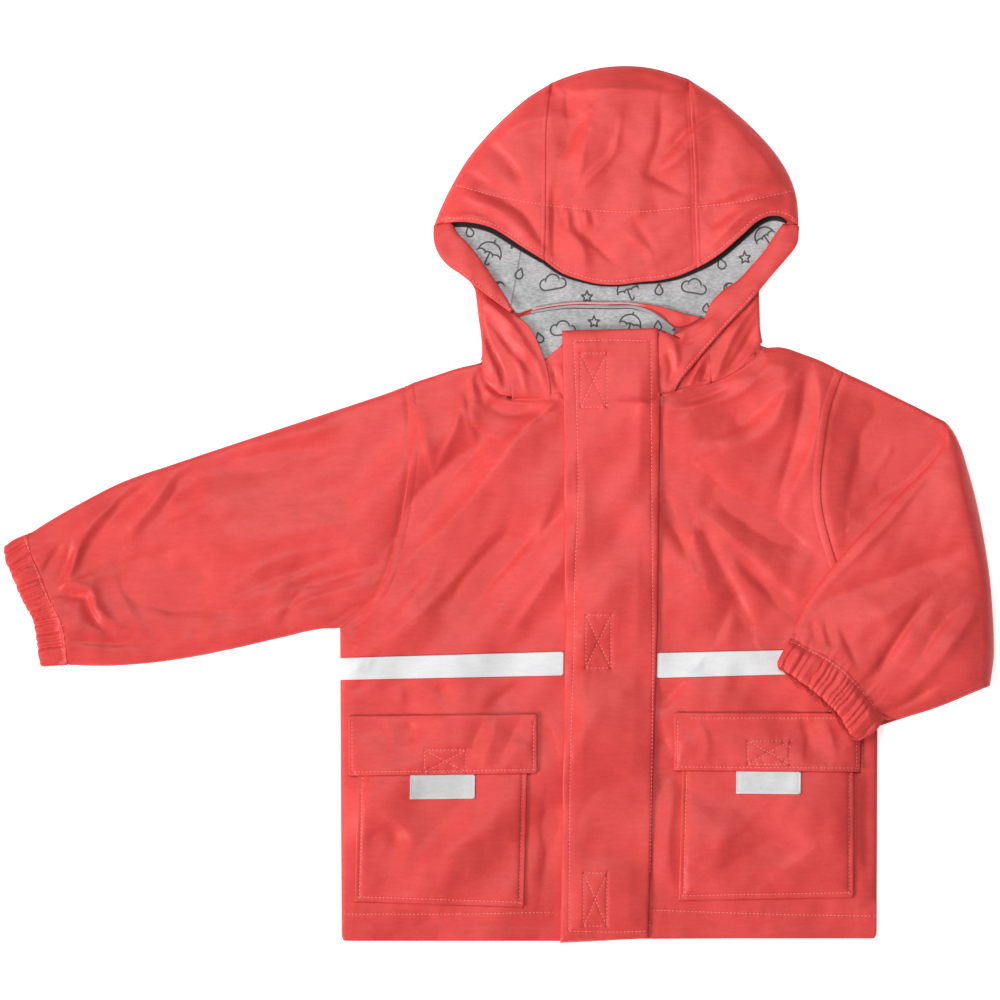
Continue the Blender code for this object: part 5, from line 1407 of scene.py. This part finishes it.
def build_sleeves():
    cuff = guide_of("cuff_right")
    both = np.concatenate([ARMHOLES, cuff])

    def sleeve_top(plan, faces, inside, low):
        height = laid_height(plan) + seam_dip(plan, ARM_SEAMS, 0.75, 2.0)
        return height + into_cuff("cuff_right", plan, inside, cuff)

    def on_floor(plan, faces, inside):
        """On the floor, and just off it where it goes under what it is sewn to."""
        return 0.4 * np.clip(1.4 - inside / CUFF_TUCK, 0, 1) * (nearest(plan, both)[0] < 4)

    def at_cuff(plan):
        return nearest(plan, cuff)[0] < 3.0

    outline = tucked(tucked(outline_of("sleeve_right"), ARMHOLES), cuff, CUFF_TUCK, corners=0.0)
    outline = eased("sleeve_right", rounded_corners(outline, SLEEVE_CORNERS, 2.4))
    build_tube("sleeve_right", outline, sleeve_top, on_floor, both, at_cuff)
    outline = eased("sleeve_left_upper", tucked(outline_of("sleeve_left_upper"), ARMHOLES))
    build_tube("sleeve_left_upper", outline, sleeve_top, on_floor, ARMHOLES)


SLEEVE_CORNERS = ((-408.8, 285.6), (-380.1, 192.5), (-143.8, 388.5))  # of the right one, that are rounded
ELBOW_TOP, ELBOW_FOOT = (234.5, 361.9), (264.6, 177.8)
CUFF_ENDS = {  # the two sides of each cuff, from its seam to its edge
    "cuff_right": (-408.8, 285.6, -425.2, 275.8, -380.1, 192.5, -400, 191.1),
    "cuff_left": (125.3, 212.8, 114.8, 193.2, 189, 153.3, 173.6, 137.9),
}


CUFF_SEAM = spread(curve((125.3, 212.8, 134.4, 206.5, 145.6, 200.9, 158.9, 188.3, 170.1, 177.8, 181.3, 168,
                          189, 153.3)), 1.0)  # of the left cuff


def build_forearm():
    """The folded sleeve's forearm: on the front, and down to the floor at the elbow."""
    under = stack()
    cuff = guide_of("cuff_left")
    outline = tucked(outline_of("sleeve_left_fore"), cuff, CUFF_TUCK, corners=0.0)
    outline = rounded_corners(outline, (ELBOW_TOP,), 2.6)
    seam_ends = CUFF_ENDS["cuff_left"]
    fold = followed(outline, 0.0, *ELBOW_FOOT, *ELBOW_TOP)
    spans = ((*ELBOW_TOP, *seam_ends[:2]), (*seam_ends[4:6], *ELBOW_FOOT))
    sides = np.concatenate([followed(outline, 0.0, *span) for span in spans])

    def resting(plan, faces):
        return settled(height_below(plan, under, 0.0), faces, 60) + GAP

    def low_of(plan, faces, inside):
        calm = resting(plan, faces)
        near_cuff = np.clip(1 - nearest(plan, CUFF_SEAM)[0] / 25, 0, 1)
        calm = calm + (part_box("cuff_left")[0].z * 1000 - calm) * near_cuff
        return calm * rounded(distance_to(plan, fold), 8.0)

    def top_of(plan, faces, inside, low):
        distance = distance_to(plan, sides)
        from_fold = distance_to(plan, fold)
        base = resting(plan, faces)
        lift = FOREARM_LIFT * rounded(distance, BODY_ROUND) + into_cuff("cuff_left", plan, inside, CUFF_SEAM)
        fade = np.clip(np.minimum(distance, from_fold) / 9, 0, 1)
        uneven = 0.4 * waves(plan, 60, seed=9) + 0.10 * waves(plan, 15, seed=10)
        high = base + PAIR + lift + (folds(plan, FOREARM_FOLDS) + uneven) * fade
        return low + (high - low) * (0.3 + 0.7 * rounded(from_fold, FOLD_ROUND))

    def at_cuff(plan):
        return nearest(plan, cuff)[0] < 3.0

    build_tube("sleeve_left_fore", outline, top_of, low_of, cuff, at_cuff)


def cuff_share(node, plan):
    """How far round a cuff each point is, from 0 at one folded side to 1 at the other."""
    off = []
    for a, b in np.array(CUFF_ENDS[node], float).reshape(2, 2, 2):
        along = (b - a) / np.linalg.norm(b - a)
        off.append(np.abs(np.cross(along, plan - a)))
    return off[0] / (off[0] + off[1])


def cuff_wave(node, plan):
    """The gathers of a cuff, which run on into its sleeve."""
    t = cuff_share(node, plan)
    wander = 0.6 * np.sin(9.1 * t + 1) + 0.25 * np.sin(31.0 * t) + 0.07 * waves(plan, 16, seed=11)
    depth = 0.75 + 0.25 * np.sin(17.0 * t + 2) * np.sin(41.0 * t)
    return np.abs(np.sin(math.pi * (CUFF_GATHERS * t + wander))) ** 0.7 * depth


def build_cuffs():
    for node, sleeve in (("cuff_right", "sleeve_right"), ("cuff_left", "sleeve_left_fore")):
        sides = np.array(CUFF_ENDS[node], float).reshape(2, 2, 2)
        start, end = (eased(node, spread(smooth(side), 1.0)) for side in sides)
        bottom, top = (corner.z * 1000 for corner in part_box(node))
        if node == "cuff_right":
            bottom = 0.0
        seam = guide_of(sleeve)
        seam = eased(node, seam[nearest(seam, outline_of(node, 0.6))[0] < SEAM_NEAR])
        under = stack()
        seam_heights = height_below(seam, under, PAIR)

        def gathers(plan, faces, inside, low):
            t = cuff_share(node, plan)
            side = rounded(np.minimum(t, 1 - t), 0.3)
            puffed = (top - bottom) * (0.5 + 0.5 * side) * (0.75 + 0.35 * rounded(inside, 7.0))
            own = bottom + puffed + CUFF_DEPTH[node] * (cuff_wave(node, plan) - 0.6)
            distance, index = nearest(plan, seam)
            beside_seam = np.exp(-((distance / 4.0) ** 2))
            own += (seam_heights[index] + 0.5 - own) * beside_seam
            return np.maximum(own, height_below(plan, under, 0.0) + 0.3)

        def flat(plan, faces, inside):
            return np.full(len(plan), bottom)

        def from_sides(plan):
            return np.minimum(nearest(plan, start)[0], nearest(plan, end)[0])

        def open_end(plan):
            return from_sides(plan) > 1.5

        def past_seam(plan):
            """0 by the seam, and 1 by the open end."""
            return np.clip((nearest(plan, seam)[0] - 8) / 4, 0, 1)

        def lower_lip(plan, outline):
            """The lower layer of the folded sleeve's cuff shows beyond the upper one."""
            distance, index = nearest(plan, outline)
            share = np.clip(1 - distance / 1.3, 0, 1) * past_seam(plan)
            share *= np.clip((from_sides(plan) - 1.0) / 16, 0, 1) ** 0.6
            ripple = 0.75 + 0.25 * np.sin(index / 2.3)
            return -normals_of(outline)[index] * (LIP_OUT * share * ripple)[:, None], LIP_CURL * share**2

        outline = eased(node, rounded_corners(outline_of(node, 1.0), sides[:, 1], 3.2))
        wavy = (cuff_wave(node, outline) - 0.6) * past_seam(outline)
        wavy *= np.clip((from_sides(outline) - 0.5) / 4, 0, 1)
        outline = outline - normals_of(outline) * wavy[:, None]
        folded = node == "cuff_left"
        build_tube(node, outline, gathers, flat, guide_of(sleeve), open_end,
                   CUFF_FULLNESS, spacing=1.0,
                   lip=lower_lip if folded else None)


def capsule():
    """A stitch one unit long along X: a few-sided rod with round ends."""
    around = 6
    stations = ((-0.34, 1.0), (0.34, 1.0))
    points = [(-0.5, 0.0, 0.0)]
    for x, radius in stations:
        for k in range(around):
            turn = 2 * math.pi * k / around
            points.append((x, radius * math.cos(turn) / 2, radius * math.sin(turn) / 2))
    points.append((0.5, 0.0, 0.0))
    faces = []
    last = len(points) - 1
    for k in range(around):
        a, b = 1 + k, 1 + (k + 1) % around
        faces += [(0, b, a), (a, b, b + around, a + around), (a + around, b + around, last)]
    return np.array(points), faces


def build_stitches():
    """Every stitch that nothing lies on, as one piece of thread."""
    tree = stack()
    rod, rod_faces = capsule()
    points, faces = [], []
    for name, line in all_stitches:
        own = stack([name])
        row = spread(line, 0.25)
        length = np.concatenate([[0], np.cumsum(np.linalg.norm(np.diff(row, axis=0), axis=1))])
        for at in np.arange(STITCH_PITCH / 2, length[-1] - STITCH_PITCH / 2, STITCH_PITCH):
            span = at + np.array([-0.5, 0.5]) * STITCH_LENGTH
            ends = np.column_stack([np.interp(span, length, row[:, k]) for k in (0, 1)])
            heights = height_below(ends, own, PAIR)
            if (height_below(ends, tree, PAIR) > heights + 0.5).any():
                continue
            a, b = (np.array([*end, z + STITCH_LIFT]) for end, z in zip(ends, heights))
            along = b - a
            size = np.linalg.norm(along)
            if size < 0.4 or size > 2 * STITCH_LENGTH:
                continue
            along /= size
            side = np.cross([0, 0, 1], along)
            side /= np.linalg.norm(side)
            up = np.cross(along, side)
            axes = np.array([along * STITCH_LENGTH, side * STITCH_THICK, up * STITCH_THICK])
            faces += [tuple(k + len(points) * len(rod) for k in face) for face in rod_faces]
            points.append((a + b) / 2 + rod @ axes)
    piece = object_from("thread_stitches", np.concatenate(points), faces, THREAD)
    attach(piece, "root")


LAMPS = (  # name, place, size, power
    ("key", (-9.1, -4.9, 6.0), 3.4, 1220.0),
    ("top", (-0.05, 0.26, 0.90), 0.5, 4.6),
)
FLOOR_SIZE, FLOOR_LEVEL, SKY_STRENGTH = 6.0, -0.0005, 0.31
FLOOR_LOOK = {
    "Base Color": (0.93, 0.93, 0.93, 1),
    "Roughness": 0.9,
    "Emission Color": (1, 1, 1, 1),
    "Emission Strength": 0.62,
}


def light_scene():
    """A pale floor, a soft sky, and a broad lamp from the left."""
    bpy.ops.mesh.primitive_plane_add(size=FLOOR_SIZE, location=(0, 0, FLOOR_LEVEL))
    floor = bpy.context.object
    floor.name = "floor"
    paper = bpy.data.materials.new("pale_floor")
    paper.use_nodes = True
    for name, value in FLOOR_LOOK.items():
        paper.node_tree.nodes["Principled BSDF"].inputs[name].default_value = value
    floor.data.materials.append(paper)
    world = bpy.data.worlds.new("sky")
    scene.world = world
    world.use_nodes = True
    world.node_tree.nodes["Background"].inputs["Color"].default_value = (1, 1, 1, 1)
    world.node_tree.nodes["Background"].inputs["Strength"].default_value = SKY_STRENGTH
    for name, place, size, power in LAMPS:
        lamp = bpy.data.lights.new(name, "AREA")
        lamp.size = size
        lamp.energy = power
        made = bpy.data.objects.new(name, lamp)
        made.location = place
        made.rotation_euler = Vector(place).to_track_quat("Z", "Y").to_euler()
        scene.collection.objects.link(made)
    scene.view_settings.view_transform = "Standard"


build_body()
build_overlays()
build_placket()
build_hood()
build_lining()
build_strips()
build_sleeves()
build_forearm()
build_cuffs()
build_stitches()
light_scene()
